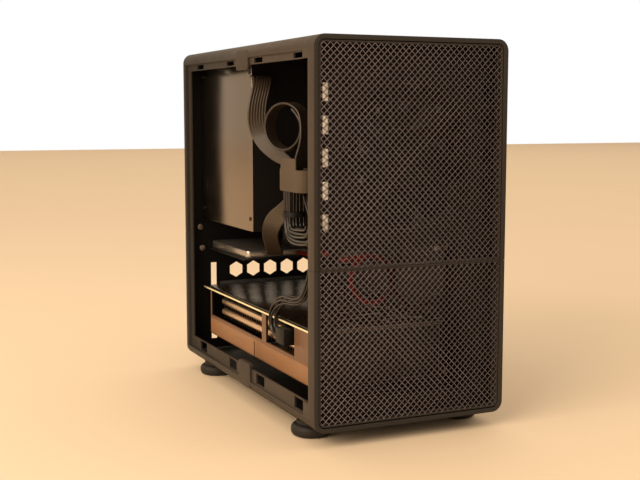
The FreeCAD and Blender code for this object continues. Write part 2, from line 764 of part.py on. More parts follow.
def rocker(middle):
    """A round-backed rocker with two facets, tipped to one side."""
    radius = rocker_radius
    centre = point(middle[0] - rocker_length / 2, rear_outer - 6, middle[1])
    body = Part.makeCylinder(radius, rocker_length, Vector(), Vector(1, 0, 0))
    for turn in (-14, 14):
        facet = Part.makeBox(rocker_length + 2, radius, 2 * radius, Vector(-1, 0, 0 if turn < 0 else -2 * radius))
        facet.translate(Vector(0, 6, 0))
        facet.rotate(Vector(), Vector(1, 0, 0), turn)
        body = body.cut(facet)
    body.rotate(Vector(), Vector(1, 0, 0), 10)
    feature("psu_switch", body, centre)


# Drive
def drive():
    low = (left + size.drive_side_gap, rear_inner - size.drive_setback - size.drive_length,
           bottom + size.drive_rise)
    keep("drive", rounded(low, (size.drive_width, size.drive_length, size.drive_thickness), "Z", 4))
    margin = 4
    shelf = block((low[0] - margin, low[1] - margin, low[2] - size.steel),
                  (size.drive_width + 2 * margin, rear_inner - low[1] + margin, size.steel))
    flange = block((low[0] - margin, rear_inner - size.steel, low[2] - size.steel),
                   (size.drive_width + 2 * margin, size.steel, size.drive_thickness + margin))
    keep("drive_bracket", fuse(shelf, flange))


# Main board
PORT_BLOCKS = ((9.5, 17, 16), (30, 15, 14), (50, 17, 16), (72, 17, 24), (94, 17, 16), (116, 24, 14), (142, 12, 24))


def main_board():
    low = (board_left, board_rear - size.board_size, bottom + size.board_rise)
    edge = size.board_size
    middle = edge / 2 - 2
    keep("motherboard", block(low, (size.board_thickness, size.board_size, size.board_size)))
    places = [(low[1] + dy, low[2] + dz) for dy in (10, middle, edge - 20) for dz in (12, middle, edge - 8)]
    keep("standoffs", group(*[rod((board_right, y, z), "X", 3, size.standoff_height) for y, z in places]))
    keep("board_screws", group(*[rod((board_left - 2, y, z), "X", 2.8, 2) for y, z in places]))
    rear_ports()
    cooler()
    memory(low)
    card_sockets()
    power_heatsink(low[2] + 110, edge - 124)
    keep("board_sockets", group(block((board_left - 13, low[1] + 5, low[2] + 150), (13, 10, 52)), data_port()))


def power_heatsink(low_z, length):
    """A grooved block over the board's power stages."""
    height = 22
    groove_depth = 15
    count = 14
    lead = 4
    pitch = (length - 2 * lead) / count
    fins = block((board_left - height, heat_front, low_z), (height, size.heat_depth, length))
    grooves = [block((board_left - height - overrun, heat_front - overrun, low_z + lead + pitch * i),
                     (groove_depth + overrun, size.heat_depth + 2 * overrun, 3)) for i in range(count)]
    keep("power_stage_heatsink", cut(fins, *grooves))


data_port_middle = board_rear - size.board_size + 3.7
data_port_rise = 80
data_port_height = 9


def data_port():
    """A small socket at the board's front edge, in which the data lead ends."""
    low = (board_left - data_port_height, data_port_middle - 4, bottom + data_port_rise - 7)
    return block(low, (data_port_height, 8, 14))


def rear_ports():
    """The board's port blocks and the shield that they pass through."""
    port_low, port_high = aperture()
    gap = size.panel_gap
    reach = rear_outer - 0.4
    depth = 18
    blocks = []
    holes = []
    shield_start = rear_inner - size.cover_thickness
    for rise, length, height in PORT_BLOCKS:
        low = (board_left - height - 1, reach - depth, port_low[1] + rise - length / 2)
        blocks.append(block(low, (height + 1, depth, length)))
        holes.append(block((low[0] - gap, shield_start - overrun, low[2] - gap),
                           (height + 1 + 2 * gap, size.cover_thickness + 2 * overrun, length + 2 * gap)))
    keep("rear_ports", group(*blocks))
    lap = 1.6
    shield = plate((port_low[0] - lap, port_low[1] - lap), (port_high[0] + lap, port_high[1] + lap), "Y",
                   shield_start, size.cover_thickness)
    edge = block((board_left - gap, shield_start - overrun, port_low[1] - 2 * lap),
                 (20, size.cover_thickness + 2 * overrun, size.aperture_height + 4 * lap))
    keep("port_shield", cut(shield, *holes, edge))


cooler_middle = heat_front - size.cooler_clear - size.cooler_size / 2


def cooler():
    """Processor socket, a flat fin stack on it, and a slim fan on the fins."""
    y = cooler_middle
    z = bottom + size.cooler_rise
    half = size.cooler_size / 2
    height = board_left - size.socket_height - size.cooler_fan_depth - psu_place()[1][0] - size.cooler_side_gap
    socket = 45
    keep("processor_socket", block((board_left - size.socket_height, y - socket / 2, z - socket / 2),
                                   (size.socket_height, socket, socket)))
    fin_high = board_left - size.socket_height
    fin_low = fin_high - height
    stack = block((fin_low, y - half, z - half), (height, size.cooler_size, size.cooler_size))
    count = 15
    pitch = 6
    grooves = [block((fin_low - overrun, y - half - overrun, z - (count / 2 - i) * pitch + 1.2),
                     (height - 5 + overrun, size.cooler_size + 2 * overrun, pitch - 1.2 - 0.9))
               for i in range(count)]
    keep("cooler_fins", cut(stack, *grooves))
    fan_low = fin_low - size.cooler_fan_depth
    frame = rounded((fan_low, y - half, z - half), (size.cooler_fan_depth, size.cooler_size, size.cooler_size),
                    "X", 5)
    bore = rod((fan_low - overrun, y, z), "X", half - 2.5, size.cooler_fan_depth + 2 * overrun)
    arm_depth = 2
    hub = 15
    start = fin_low - arm_depth
    arms = [block((start, y - half + 1, z - 2), (arm_depth, size.cooler_size - 2, 4)),
            block((start, y - 2, z - half + 1), (arm_depth, 4, size.cooler_size - 2))]
    keep("cooler_fan_frame", fuse(cut(frame, bore), rod((start, y, z), "X", hub, arm_depth), *arms))
    rotor("cooler_fan_rotor", point(fan_low + 0.6, y, z), "X", hub, number.cooler_size / 2 - 3.5,
          number.cooler_fan_depth - arm_depth - 0.9, 9)


def memory(board_low):
    """Two memory sockets with their modules."""
    sockets = []
    modules = []
    length = 140
    for i in range(2):
        y = cooler_middle - 62 - 12 * i
        z = board_low[2] + 96
        socket = block((board_left - 8, y - 3.5, z), (8, 7, length))
        groove = block((board_left - 8 - overrun, y - 0.9, z + 3), (6 + overrun, 1.8, length - 6))
        sockets.append(cut(socket, groove))
        modules.append(block((board_left - 33, y - 0.7, z + 3.4), (31, 1.4, length - 6.8)))
    keep("memory_sockets", group(*sockets))
    keep("memory_modules", group(*modules))


card_finger_rear = 45
card_finger_length = 84
finger_reach = 9


def card_sockets():
    """Card sockets on the board, in line with the slots: a short one and two long ones."""
    sockets = []
    height = 11
    for index, length in ((0, 26), (1, 90), (3, 90)):
        z = bottom + size.card_rise + (1 - index) * size.slot_pitch
        high_y = rear_inner - card_finger_rear + 3
        body = block((board_left - height, high_y - length, z - 3.7), (height, length, 7.4))
        groove = block((board_left - height - overrun, high_y - length + 2.5, z - 0.9),
                       (height - 2 + overrun, length - 5, 1.8))
        sockets.append(cut(body, groove))
    keep("card_sockets", group(*sockets))


# Graphics card
def graphics_card():
    z = bottom + size.card_rise
    thick = size.board_thickness
    low_x = left + size.card_left_gap
    high_x = board_left - size.card_connector_gap
    low_y = card_front
    board = block((low_x, low_y, z - thick / 2), (high_x - low_x, size.card_length, thick))
    finger_high = rear_inner - card_finger_rear
    finger = block((high_x - overrun, finger_high - card_finger_length, z - thick / 2),
                   (overrun + finger_reach, card_finger_length, thick))
    keep("card_board", fuse(board, finger))
    edge = 1
    keep("card_backplate", rounded((low_x + edge, low_y, z + thick / 2 + size.panel_gap),
                                   (high_x - low_x - 2 * edge, size.shroud_length, thick), "Z", 3))
    card_shroud(low_x, high_x, low_y)
    card_bracket()
    low = (low_x - 8, card_front + plug_setback, bottom + plug_rise)
    keep("card_power_plug", block(low, (11, plug_length, plug_height)))


plug_setback = 35.3
plug_rise = 51
plug_length = 18
plug_height = 13.2
window_low = 3.2


def card_shroud(low_x, high_x, low_y):
    """The card's plastic cover: open at the top, fan bores below, windows above the side bar, fins inside."""
    wall = size.shroud_wall
    card_low = bottom + size.card_bottom
    card_high = bottom + size.card_rise - size.board_thickness / 2 - size.panel_gap
    start_y = low_y - size.shroud_front_over
    wide = high_x - low_x - 3
    tall = card_high - card_low
    outer = soften(block((low_x, start_y, card_low), (wide, size.shroud_length, tall)), 3,
                   lambda edge: along("Z")(edge) or max(v.Z for v in edge.Vertexes) < (card_low + 1).number)
    hollow = block((low_x + wall, start_y + wall, card_low + wall),
                   (wide - 2 * wall, size.shroud_length - 2 * wall, tall))
    middle_x = low_x + wide / 2
    middle_y = start_y + size.shroud_length / 2
    fans = [middle_y - size.card_fan_place, middle_y + size.card_fan_place]
    bores = [rod((middle_x, y, card_low - overrun), "Z", size.card_fan_radius + 1.2, wall + 2 * overrun)
             for y in fans]
    sill = card_low + size.bar_height + window_low
    lintel = card_high - sill
    windows = [block((low_x - overrun, start_y + 34, sill), (wall + 2 * overrun, 62, lintel)),
               block((low_x - overrun, start_y + 106, sill), (wall + 2 * overrun, 134, lintel))]
    groove = block((low_x - overrun, start_y + 124, card_low - overrun), (overrun + 0.6, 1.6, size.bar_height))
    keep("card_shroud", cut(outer, hollow, *bores, *windows, groove))
    fin_low = card_low + wall + size.card_fan_depth + 2.3
    card_fins(low_x + wall + 9, wide - 2 * wall - 9.3, start_y + wall + 6, fin_low, card_high)
    pipe = 3
    pipes = [soften(rod((low_x + wall + 9 - pipe - size.panel_gap, start_y + 20, fin_low + rise), "Y", pipe, 206),
                    2.6, lambda edge: edge.Closed) for rise in (8, 18)]
    keep("card_heat_pipes", group(*pipes))
    for label, y in zip(("card_fan_front", "card_fan_rear"), fans):
        rotor(label, point(middle_x, y, card_low + 1.4), "Z", number.card_hub, number.card_fan_radius,
              number.card_fan_depth + 2.6, 11, 20)


def card_fins(low_x, wide, low_y, low_z, high_z):
    """A fin stack: a base plate against the board side and thin fins across the card."""
    base = 3
    length = size.shroud_length - 2 * size.shroud_wall - 12
    stack = block((low_x, low_y, low_z), (wide, length, high_z - low_z))
    count = 38
    pitch = length / count
    fin = 1.6
    grooves = [block((low_x - overrun, low_y + fin + pitch * i, low_z - overrun),
                     (wide + 2 * overrun, pitch - fin, high_z - low_z - base + overrun)) for i in range(count)]
    keep("card_fins", cut(stack, *grooves))


def card_bracket():
    """The card's steel bracket over two slots, with vents, and the display sockets in it."""
    high_z = slot_middle(1) + size.slot_cover / 2
    low_z = slot_middle(2) - size.slot_cover / 2
    lap = 3
    face = plate((slot_left - lap, low_z), (slot_right + lap, high_z), "Y",
                 rear_inner - size.cover_thickness, size.cover_thickness)
    start = rear_inner - size.cover_thickness - overrun
    depth = size.cover_thickness + 2 * overrun
    long = slot_right - slot_left
    vent_pitch = (long - 13) / 10
    holes = [block((slot_left + 6 + vent_pitch * i, start, low_z + 4), (vent_pitch / 2, depth, 12))
             for i in range(11)]
    gap = size.panel_gap
    sockets = []
    under = bottom + size.card_rise - size.board_thickness / 2 - gap
    socket_pitch = (long - 37) / 3
    socket_length = socket_pitch - 5
    for i in range(4):
        low = (slot_left + 16 + socket_pitch * i, rear_inner - 17, under - 7.5)
        sockets.append(block(low, (socket_length, 18, 7.5)))
        holes.append(block((low[0] - gap, start, low[2] - gap), (socket_length + 2 * gap, depth, 7.5 + 2 * gap)))
    keep("card_bracket", cut(face, *holes))
    keep("display_sockets", group(*sockets))


# Cables
def route(points):
    """A path of straight runs joined by tangent arcs, each arc as large as its two runs allow."""
    edges = []
    radii = []
    last = points[0]
    for before, here, after in zip(points, points[1:], points[2:]):
        back_run = before - here
        next_run = after - here
        setback = 0.45 * min(back_run.Length, next_run.Length)
        half_turn = (math.pi - back_run.getAngle(next_run)) / 2
        radius = setback / math.tan(half_turn)
        radii.append(radius)
        inward = back_run.normalize()
        outward = next_run.normalize()
        enter = here + inward * setback
        leave = here + outward * setback
        across = (inward + outward).normalize()
        crown = here + across * (radius / math.cos(half_turn) - radius)
        edges.append(Part.LineSegment(last, enter).toShape())
        edges.append(Part.Arc(enter, crown, leave).toShape())
        last = leave
    edges.append(Part.LineSegment(last, points[-1]).toShape())
    return Part.Wire(edges), radii


cable_room = 133.1


def behind_fan(amount):
    """A depth behind the fan, given for the usual room before the supply and stretched with that room."""
    return fan_back + amount * (psu_place()[0][1] - fan_back) / cable_room


def at(inward, depth, rise):
    """A cable point: its distance from the left face, its Y and its height over the body's bottom."""
    return Vector(left.number + inward, depth.number, bottom.number + rise)


def near(inward, from_fan, rise):
    """A cable point whose depth is given behind the fan."""
    return at(inward, behind_fan(from_fan), rise)


def report(label, path, radii, solid, area):
    ratio = solid.Volume / (area * path.Length)
    print(f"{label}: length {path.Length:.1f}, radii {[round(r, 1) for r in radii]}, volume ratio {ratio:.3f}")


def round_lead(label, points, diameter):
    """A round cable along a route."""
    path, radii = route(points)
    profile = Part.Wire(Part.Circle(points[0], points[1] - points[0], diameter / 2).toShape())
    solid = path.makePipeShell([profile], True, False)
    report(label, path, radii, solid, Part.Face(profile).Area)
    feature(label, solid)


def flat_lead(label, points, width, thickness):
    """A flat cable along a route, its width kept along X."""
    path, radii = route(points)
    wide = Vector(width / 2, 0, 0)
    run = points[1] - points[0]
    thick = run.cross(Vector(1, 0, 0)).normalize() * (thickness / 2)
    start = points[0]
    corners = [start - wide - thick, start + wide - thick, start + wide + thick, start - wide + thick]
    profile = Part.makePolygon(corners + corners[:1])
    sweep = Part.BRepOffsetAPI.MakePipeShell(path)
    sweep.setBiNormalMode(Vector(1, 0, 0))
    sweep.add(profile)
    sweep.build()
    sweep.makeSolid()
    solid = Part.Solid(sweep.shape())
    report(label, path, radii, solid, width * thickness)
    feature(label, solid)


drive_front = rear_inner - size.drive_setback - size.drive_length


def power_ribbon():
    """The supply's flat cable: from its front face down through the strap to the drive's front edge."""
    supply = psu_place()[0]
    entry = number.drive_rise + number.drive_thickness / 2 + 0.2
    under = (supply[2] - bottom).number - 2.5
    flat_lead("power_ribbon", [
        at(23, supply[1], 270.5), near(23, 123.3, 270.5), near(19, 115.8, 262), near(14, 114.3, 246),
        near(13.5, 114.3, 229), near(18, 107.3, 214), near(24.5, 88.3, 202), near(27.5, 68.8, 198),
        near(27.5, 68.8, 172), near(27, 81.3, 160), near(25.5, 106.3, 148), near(32, 133.3, under),
        near(43, 149.3, entry + (under - entry) / 3), near(49, 160.3, entry), at(49, drive_front, entry),
    ], number.ribbon_width, number.ribbon_thickness)


strap_low = (left + 16, behind_fan(28.3), bottom + 176)
strap_high = (left + 39, behind_fan(75.3), bottom + 194)


def cable_strap():
    """A hook-and-loop band round the bundle, with its loose end standing up at the outer face."""
    thick = size.strap_thickness
    extent = [high - low for low, high in zip(strap_low, strap_high)]
    band = rounded(strap_low, extent, "Z", 8)
    hole = rounded((strap_low[0] + thick, strap_low[1] + thick, strap_low[2] - overrun),
                   (extent[0] - 2 * thick, extent[1] - 2 * thick, extent[2] + 2 * overrun), "Z", 8 - thick)
    flap_low = behind_fan(37.3)
    flap = block((strap_low[0], flap_low, strap_high[2] - 2), (thick, behind_fan(67.3) - flap_low, 11))
    keep("cable_strap", fuse(cut(band, hole), flap))


def bundle_side():
    """The X at which the bundle's pieces lie against the strap's inside."""
    return strap_low[0] + size.strap_thickness + size.panel_gap


def ribbon_coil():
    """A spare length of flat cable rolled to one ring over the strap, its end tucked in the strap."""
    start = bundle_side()
    width = 14
    outer = 21
    wall = 2.6
    middle = (behind_fan(72.3), bottom + 228)
    loop = cut(rod((start, *middle), "X", outer, width),
               rod((start - overrun, *middle), "X", outer - wall, width + 2 * overrun))
    tail = block((start, behind_fan(64.3), strap_high[2] - 11), (width, wall, 28))
    keep("ribbon_coil", fuse(loop, tail))


def wire_hank():
    """Folded spare wires under the strap, as one bent bundle with the tie round its rear leg."""
    start = bundle_side()
    width = 14
    low_y = behind_fan(8.3)
    length = behind_fan(67.3) - low_y
    leg = 14
    between = length - 2 * leg
    base = bottom + 133
    tall = strap_low[2] + 4 - base
    whole = rounded((start, low_y, base), (width, length, tall), "X", 17)
    inner = rounded((start - overrun, low_y + leg, base + leg), (width + 2 * overrun, between, tall + leg), "X",
                    0.3 * between)
    shorten = block((start - overrun, low_y - overrun, base + 16), (width + 2 * overrun, leg + 3, tall))
    tucked = block((start, low_y + leg + between, base + tall / 2), (width, leg, tall / 2))
    keep("wire_hank", fuse(cut(whole, inner, shorten), tucked))


def card_lead():
    """The card's power cable: from its plug up and forward, then up behind the front strip into the strap."""
    inward = number.card_left_gap - 3.8
    plug_back = card_front + plug_setback + plug_length
    round_lead("card_power_lead", [
        at(inward, plug_back, plug_rise + 5), at(inward, plug_back + 12, plug_rise + 5),
        at(inward - 0.4, plug_back + 15, plug_rise + 24), at(inward, plug_back - 7, plug_rise + 38),
        near(inward, 26.3, 90), near(inward, 10.3, 97), near(inward + 1, 0.3, 120), near(inward + 4, 2.3, 150),
        near(inward + 8, 18.3, 163), near(inward + 12, 37.3, 172), near(inward + 14, 41.3, 188),
    ], number.wire_bundle)


def data_lead():
    """The drive's data cable: forward over the card, round in a loop behind the lower mesh, then to the board."""
    reach = (board_left - data_port_height - left).number
    middle = 71
    middle_rise = 107
    radius = 19.5
    loop = []
    count = 9
    for i in range(count + 3):
        turn = math.radians(60 - 360 * i / count)
        loop.append(near(middle + radius * math.cos(turn), 4.3 + 0.9 * i, middle_rise + radius * math.sin(turn)))
    way_in = [at(77, drive_front, 110), near(77, 148.3, 110), near(75, 124.3, 114), near(70, 98.3, 118),
              near(65, 70.3, 119), near(59, 44.3, 119.5), near(57, 22.3, 122), near(63, 8.3, 127)]
    way_out = [near(reach - 36.4, 14.3, 84), at(reach - 16.4, data_port_middle - 5, 78),
               at(reach - 8, data_port_middle, data_port_rise), at(reach, data_port_middle, data_port_rise)]
    round_lead("data_lead", way_in + loop + way_out, number.data_width)


def cables():
    power_ribbon()
    cable_strap()
    ribbon_coil()
    wire_hank()
    card_lead()
    data_lead()


shells()
front_meshes()
front_plate()
front_fan()
rear_panel()
slot_covers()
rear_screws()
right_panel()
tray()
feet()
top_ports()
power_supply()
drive()
main_board()
graphics_card()
cables()

doc.recompute()
broken = [made.Label for made in doc.Objects if {"Invalid", "Error"} & set(made.State)]
if broken:
    raise SystemExit(f"failed objects: {broken}")
for label, made in parts.items():
    if made.Shape.isNull() or not made.Shape.isValid():
        raise SystemExit(f"bad shape: {label}")

os.makedirs("parts", exist_ok=True)
for label, made in parts.items():
    made.Shape.exportStep(f"parts/{label}.step")
print(len(parts), "parts written")
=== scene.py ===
import json
import logging
import math
from collections.abc import Callable, Iterator, Sequence
from contextlib import contextmanager
from dataclasses import dataclass, field
from enum import Enum, IntEnum
from functools import partial
from typing import Any, Union

import bpy
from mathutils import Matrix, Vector


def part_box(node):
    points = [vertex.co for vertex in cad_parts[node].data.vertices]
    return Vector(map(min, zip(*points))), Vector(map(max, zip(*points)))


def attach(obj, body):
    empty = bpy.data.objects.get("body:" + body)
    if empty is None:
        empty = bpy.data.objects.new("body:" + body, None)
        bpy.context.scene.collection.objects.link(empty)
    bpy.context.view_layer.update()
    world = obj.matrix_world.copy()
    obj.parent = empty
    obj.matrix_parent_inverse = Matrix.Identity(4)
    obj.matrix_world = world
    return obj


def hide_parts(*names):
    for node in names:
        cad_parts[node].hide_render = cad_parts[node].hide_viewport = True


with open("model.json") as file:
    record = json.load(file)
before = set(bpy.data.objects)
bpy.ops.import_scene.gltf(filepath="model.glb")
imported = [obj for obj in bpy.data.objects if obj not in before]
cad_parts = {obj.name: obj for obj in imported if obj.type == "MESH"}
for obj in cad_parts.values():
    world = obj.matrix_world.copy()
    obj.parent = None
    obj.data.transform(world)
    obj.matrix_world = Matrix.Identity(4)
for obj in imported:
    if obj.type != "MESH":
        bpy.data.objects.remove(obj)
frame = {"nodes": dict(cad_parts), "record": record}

logging.basicConfig(level=logging.INFO, format="%(message)s")
log = logging.getLogger("case")

Colour = tuple[float, float, float]
Point = tuple[float, float, float]
Shift = tuple[float, float]
Stages = tuple[float, ...]
Operand = Union["Signal", float, Sequence[float]]

MM = 0.001


class Body(str, Enum):
    """The CAD bodies that pieces ride on."""

    CASE = "case"
    UPPER_MESH = "upper_mesh"
    LOWER_MESH = "lower_mesh"


class Axis(IntEnum):
    """The axes of the shared frame."""

    X = 0
    Y = 1
    Z = 2


class Bands(str, Enum):
    """The directions that bands on a surface follow each other in."""

    Y = "Y"
    Z = "Z"
    DIAGONAL = "DIAGONAL"


class Slant(IntEnum):
    """The two ways in which the wires of a front panel lean, seen from the front."""

    RISING = 1
    FALLING = -1


class FarEnd(str, Enum):
    """What the far end of a cable does."""

    OBJECT = "object"
    BARE = "bare"


# Shader building
# MIDDLE is the middle of a noise, and a normal over FACING on an axis faces along it
MIDDLE = 0.5
FACING = 0.5
BAND_SWAY = 0.6
BAND_DETAIL = 1.0


class Signal:
    """A shader socket that takes part in arithmetic: each operation adds one Math node."""

    def __init__(self, graph: "Graph", socket: bpy.types.NodeSocket) -> None:
        """Wraps an output socket of a graph."""
        self.graph = graph
        self.socket = socket

    def __add__(self, other: Operand) -> "Signal":
        """Adds another value."""
        return self.graph.math("ADD", self, other)

    def __radd__(self, other: Operand) -> "Signal":
        """Adds this to another value."""
        return self.graph.math("ADD", other, self)

    def __sub__(self, other: Operand) -> "Signal":
        """Takes another value away."""
        return self.graph.math("SUBTRACT", self, other)

    def __rsub__(self, other: Operand) -> "Signal":
        """Takes this away from another value."""
        return self.graph.math("SUBTRACT", other, self)

    def __mul__(self, other: Operand) -> "Signal":
        """Multiplies by another value."""
        return self.graph.math("MULTIPLY", self, other)

    def __rmul__(self, other: Operand) -> "Signal":
        """Multiplies another value by this."""
        return self.graph.math("MULTIPLY", other, self)

    def __truediv__(self, other: Operand) -> "Signal":
        """Divides by another value."""
        return self.graph.math("DIVIDE", self, other)

    def __rtruediv__(self, other: Operand) -> "Signal":
        """Divides another value by this."""
        return self.graph.math("DIVIDE", other, self)

    def __gt__(self, other: Operand) -> "Signal":
        """One where this is greater, else zero."""
        return self.graph.math("GREATER_THAN", self, other)

    def __lt__(self, other: Operand) -> "Signal":
        """One where this is less, else zero."""
        return self.graph.math("LESS_THAN", self, other)

    def __abs__(self) -> "Signal":
        """The value without its sign."""
        return self.graph.math("ABSOLUTE", self, 0.0)


class Graph:
    """A node tree under construction."""

    def __init__(self, tree: bpy.types.NodeTree) -> None:
        """Takes over a material's or a world's node tree and empties it."""
        self.tree = tree
        self.tree.nodes.clear()

    def node(self, kind: str, inputs: dict[Any, Operand] | None = None, output: Any = 0,
             **settings: Any) -> Signal:
        """Adds a node.

        Args:
            kind: The node's type name.
            inputs: Values or signals by input name or index.
            output: The output that is returned, by name or index.
            **settings: The node's own properties.

        Returns:
            The chosen output.
        """
        made = self.tree.nodes.new(kind)
        for key, value in settings.items():
            setattr(made, key, value)
        for key, value in (inputs or {}).items():
            self.feed(made.inputs[key], value)
        return Signal(self, made.outputs[output] if made.outputs else None)

    def feed(self, socket: bpy.types.NodeSocket, value: Operand) -> None:
        """Links a signal to an input, or sets a constant on it.

        Args:
            socket: The input.
            value: A signal or a constant.
        """
        if isinstance(value, Signal):
            self.tree.links.new(value.socket, socket)
        else:
            socket.default_value = value

    def math(self, operation: str, first: Operand, second: Operand) -> Signal:
        """Adds a Math node and gives its result."""
        return self.node("ShaderNodeMath", {0: first, 1: second}, operation=operation)

    def clamp(self, value: Signal) -> Signal:
        """Limits a value to the range from 0 to 1."""
        return self.math("MINIMUM", self.math("MAXIMUM", value, 0.0), 1.0)

    def place(self, stretch: Point = (1.0, 1.0, 1.0)) -> Signal:
        """Object coordinates, scaled along each axis."""
        coordinates = self.node("ShaderNodeTexCoord", output="Object")
        return self.node("ShaderNodeMapping", {"Vector": coordinates, "Scale": stretch})

    def coordinate(self, axis: Axis) -> Signal:
        """One of the object coordinates, in metres."""
        place = self.node("ShaderNodeTexCoord", output="Object")
        return self.node("ShaderNodeSeparateXYZ", {"Vector": place}, output=axis)

    def normal(self, axis: Axis) -> Signal:
        """How far the surface faces along one axis, to either side."""
        facing = self.node("ShaderNodeTexCoord", output="Normal")
        return abs(self.node("ShaderNodeSeparateXYZ", {"Vector": facing}, output=axis))

    def noise(self, scale: float, detail: float = 2.0, stretch: Point = (1.0, 1.0, 1.0)) -> Signal:
        """Cloudy noise from 0 to 1, by its cells in one metre and its octaves."""
        inputs = {"Vector": self.place(stretch), "Scale": scale, "Detail": detail}
        return self.node("ShaderNodeTexNoise", inputs)

    def cells(self, scale: float) -> Signal:
        """Distance to the nearest of many scattered points, by their number in one metre."""
        return self.node("ShaderNodeTexVoronoi", {"Vector": self.place(), "Scale": scale})

    def wave(self, scale: float, direction: Bands) -> Signal:
        """Even bands with a height from 0 to 1, which follow each other in a direction."""
        inputs = {"Vector": self.place(), "Scale": scale, "Distortion": BAND_SWAY, "Detail": BAND_DETAIL}
        return self.node("ShaderNodeTexWave", inputs, output="Fac", bands_direction=direction.value)

    def blend(self, factor: Operand, first: Operand, second: Operand) -> Signal:
        """Mixes two colours: a factor of 0 gives the first and 1 the second."""
        inputs = {0: factor, 6: opaque(first), 7: opaque(second)}
        return self.node("ShaderNodeMix", inputs, output=2, data_type="RGBA")

    def bump(self, height: Signal, strength: float, distance: float = 0.0004) -> Signal:
        """Turns a height into a surface normal: 1 is as high as the distance, in metres."""
        return self.node("ShaderNodeBump", {"Height": height, "Strength": strength, "Distance": distance})


def opaque(colour: Operand) -> Operand:
    """Adds full alpha to a colour constant, and leaves a signal as it is.

    Args:
        colour: A colour or a signal.

    Returns:
        What a colour input takes.
    """
    if isinstance(colour, Signal):
        return colour
    return (*colour, 1.0)


def scaled(colour: Colour, factor: float) -> Colour:
    """A colour made lighter or darker."""
    return tuple(min(1.0, channel * factor) for channel in colour)


# Finishes
@dataclass(frozen=True)
class ShadeZone:
    """Painted shade: a darker second colour that a surface takes on from one plane to another."""

    axis: Axis
    start: float
    end: float
    colour: Colour

    def mask(self, graph: Graph) -> Signal:
        """How far a point lies on the way: 0 before the start and 1 past the end."""
        return graph.clamp((graph.coordinate(self.axis) - self.start) / (self.end - self.start))


@dataclass(frozen=True)
class Finish:
    """A plain surface: cloudy colour, uneven roughness and a fine grain."""

    name: str
    colour: Colour
    roughness: float = 0.5
    metallic: float = 0.0
    coat: float = 0.0
    spread: float = 0.18
    patch: float = 35.0
    grain: float = 1400.0
    relief: float = 0.12
    specular: float = 0.5
    # Painted shade: zone darkens a surface past a plane, and front darkens the faces that look to the front
    # or back.
    shade_zone: ShadeZone | None = None
    front: Colour | None = None
    cloud_detail: float = 4.0
    grain_detail: float = 3.0
    gloss_scale: float = 2.3
    gloss_spread: float = 0.16

    def tone(self, graph: Graph) -> Signal:
        """The base colour.

        Args:
            graph: The material's graph.

        Returns:
            The colour signal.
        """
        cloud = graph.noise(self.patch, self.cloud_detail)
        dark = scaled(self.colour, 1.0 - self.spread)
        light = scaled(self.colour, 1.0 + self.spread)
        return graph.blend(cloud, dark, light)

    def height(self, graph: Graph) -> Signal:
        """The fine relief."""
        return graph.noise(self.grain, self.grain_detail)

    def zoned(self, graph: Graph) -> Signal:
        """The base colour, with painted shade laid over it past the zone's plane and on front and back faces.

        Args:
            graph: The material's graph.

        Returns:
            The colour signal.
        """
        tone = self.tone(graph)
        if self.shade_zone is not None:
            tone = graph.blend(self.shade_zone.mask(graph), tone, self.shade_zone.colour)
        if self.front is not None:
            tone = graph.blend(graph.normal(Axis.Y) > FACING, tone, self.front)
        return tone

    def material(self) -> bpy.types.Material:
        """Builds the material.

        Returns:
            The new material.
        """
        made = bpy.data.materials.new(self.name)
        made.use_nodes = True
        made.diffuse_color = (*self.colour, 1.0)
        graph = Graph(made.node_tree)
        uneven = graph.noise(self.patch * self.gloss_scale, self.grain_detail)
        shader = graph.node("ShaderNodeBsdfPrincipled", {
            "Base Color": self.zoned(graph),
            "Roughness": self.roughness + (uneven - MIDDLE) * self.gloss_spread,
            "Metallic": self.metallic,
            "Coat Weight": self.coat,
            "Specular IOR Level": self.specular,
            "Normal": graph.bump(self.height(graph), self.relief),
        })
        graph.node("ShaderNodeOutputMaterial", {"Surface": shader})
        return made


@dataclass(frozen=True)
class PowderCoat(Finish):
    """Textured paint with scattered bright flecks, and painted shade on up-facing faces near the ground."""

    fleck: float = 1500.0
    fleck_share: float = 0.16
    fleck_strength: float = 0.6
    fleck_gain: float = 4.0
    # Painted shade: up-facing faces under the low height take the colour times the low gain.
    low: float = 0.0
    low_shade_gain: float = 0.1

    def zoned(self, graph: Graph) -> Signal:
        """The paint's colour, lighter in small flecks, with nearly black painted shade under the low limit.

        Args:
            graph: The material's graph.

        Returns:
            The colour signal.
        """
        flecks = graph.cells(self.fleck) < self.fleck_share
        fleck_colour = scaled(self.colour, self.fleck_gain)
        tone = graph.blend(flecks * self.fleck_strength, super().zoned(graph), fleck_colour)
        # Painted shade on up-facing faces near the ground.
        lowest = (graph.coordinate(Axis.Z) < self.low) * (graph.normal(Axis.Z) > FACING)
        return graph.blend(lowest, tone, scaled(self.colour, self.low_shade_gain))


@dataclass(frozen=True)
class Brushed(Finish):
    """Metal with fine lines along one axis."""

    stretch: Point = (1.0, 0.04, 1.0)

    def height(self, graph: Graph) -> Signal:
        """Long thin streaks."""
        return graph.noise(self.grain, stretch=self.stretch)


@dataclass(frozen=True)
class Laminate(Finish):
    """A circuit board: coloured faces with fine tracks, and pale cut edges along one axis."""

    edge: Colour = (0.8, 0.68, 0.4)
    edge_axis: Axis = Axis.Z
    track: float = 160.0
    track_limit: float = 0.72
    track_strength: float = 0.5
    track_gain: float = 1.9

    def tone(self, graph: Graph) -> Signal:
        """The face colour with tracks, and the edge colour where the surface faces along the edge axis.

        Args:
            graph: The material's graph.

        Returns:
            The colour signal.
        """
        tracks = graph.wave(self.track, Bands.DIAGONAL) > self.track_limit
        track_colour = scaled(self.colour, self.track_gain)
        face = graph.blend(tracks * self.track_strength, super().tone(graph), track_colour)
        return graph.blend(graph.normal(self.edge_axis) > FACING, face, self.edge)


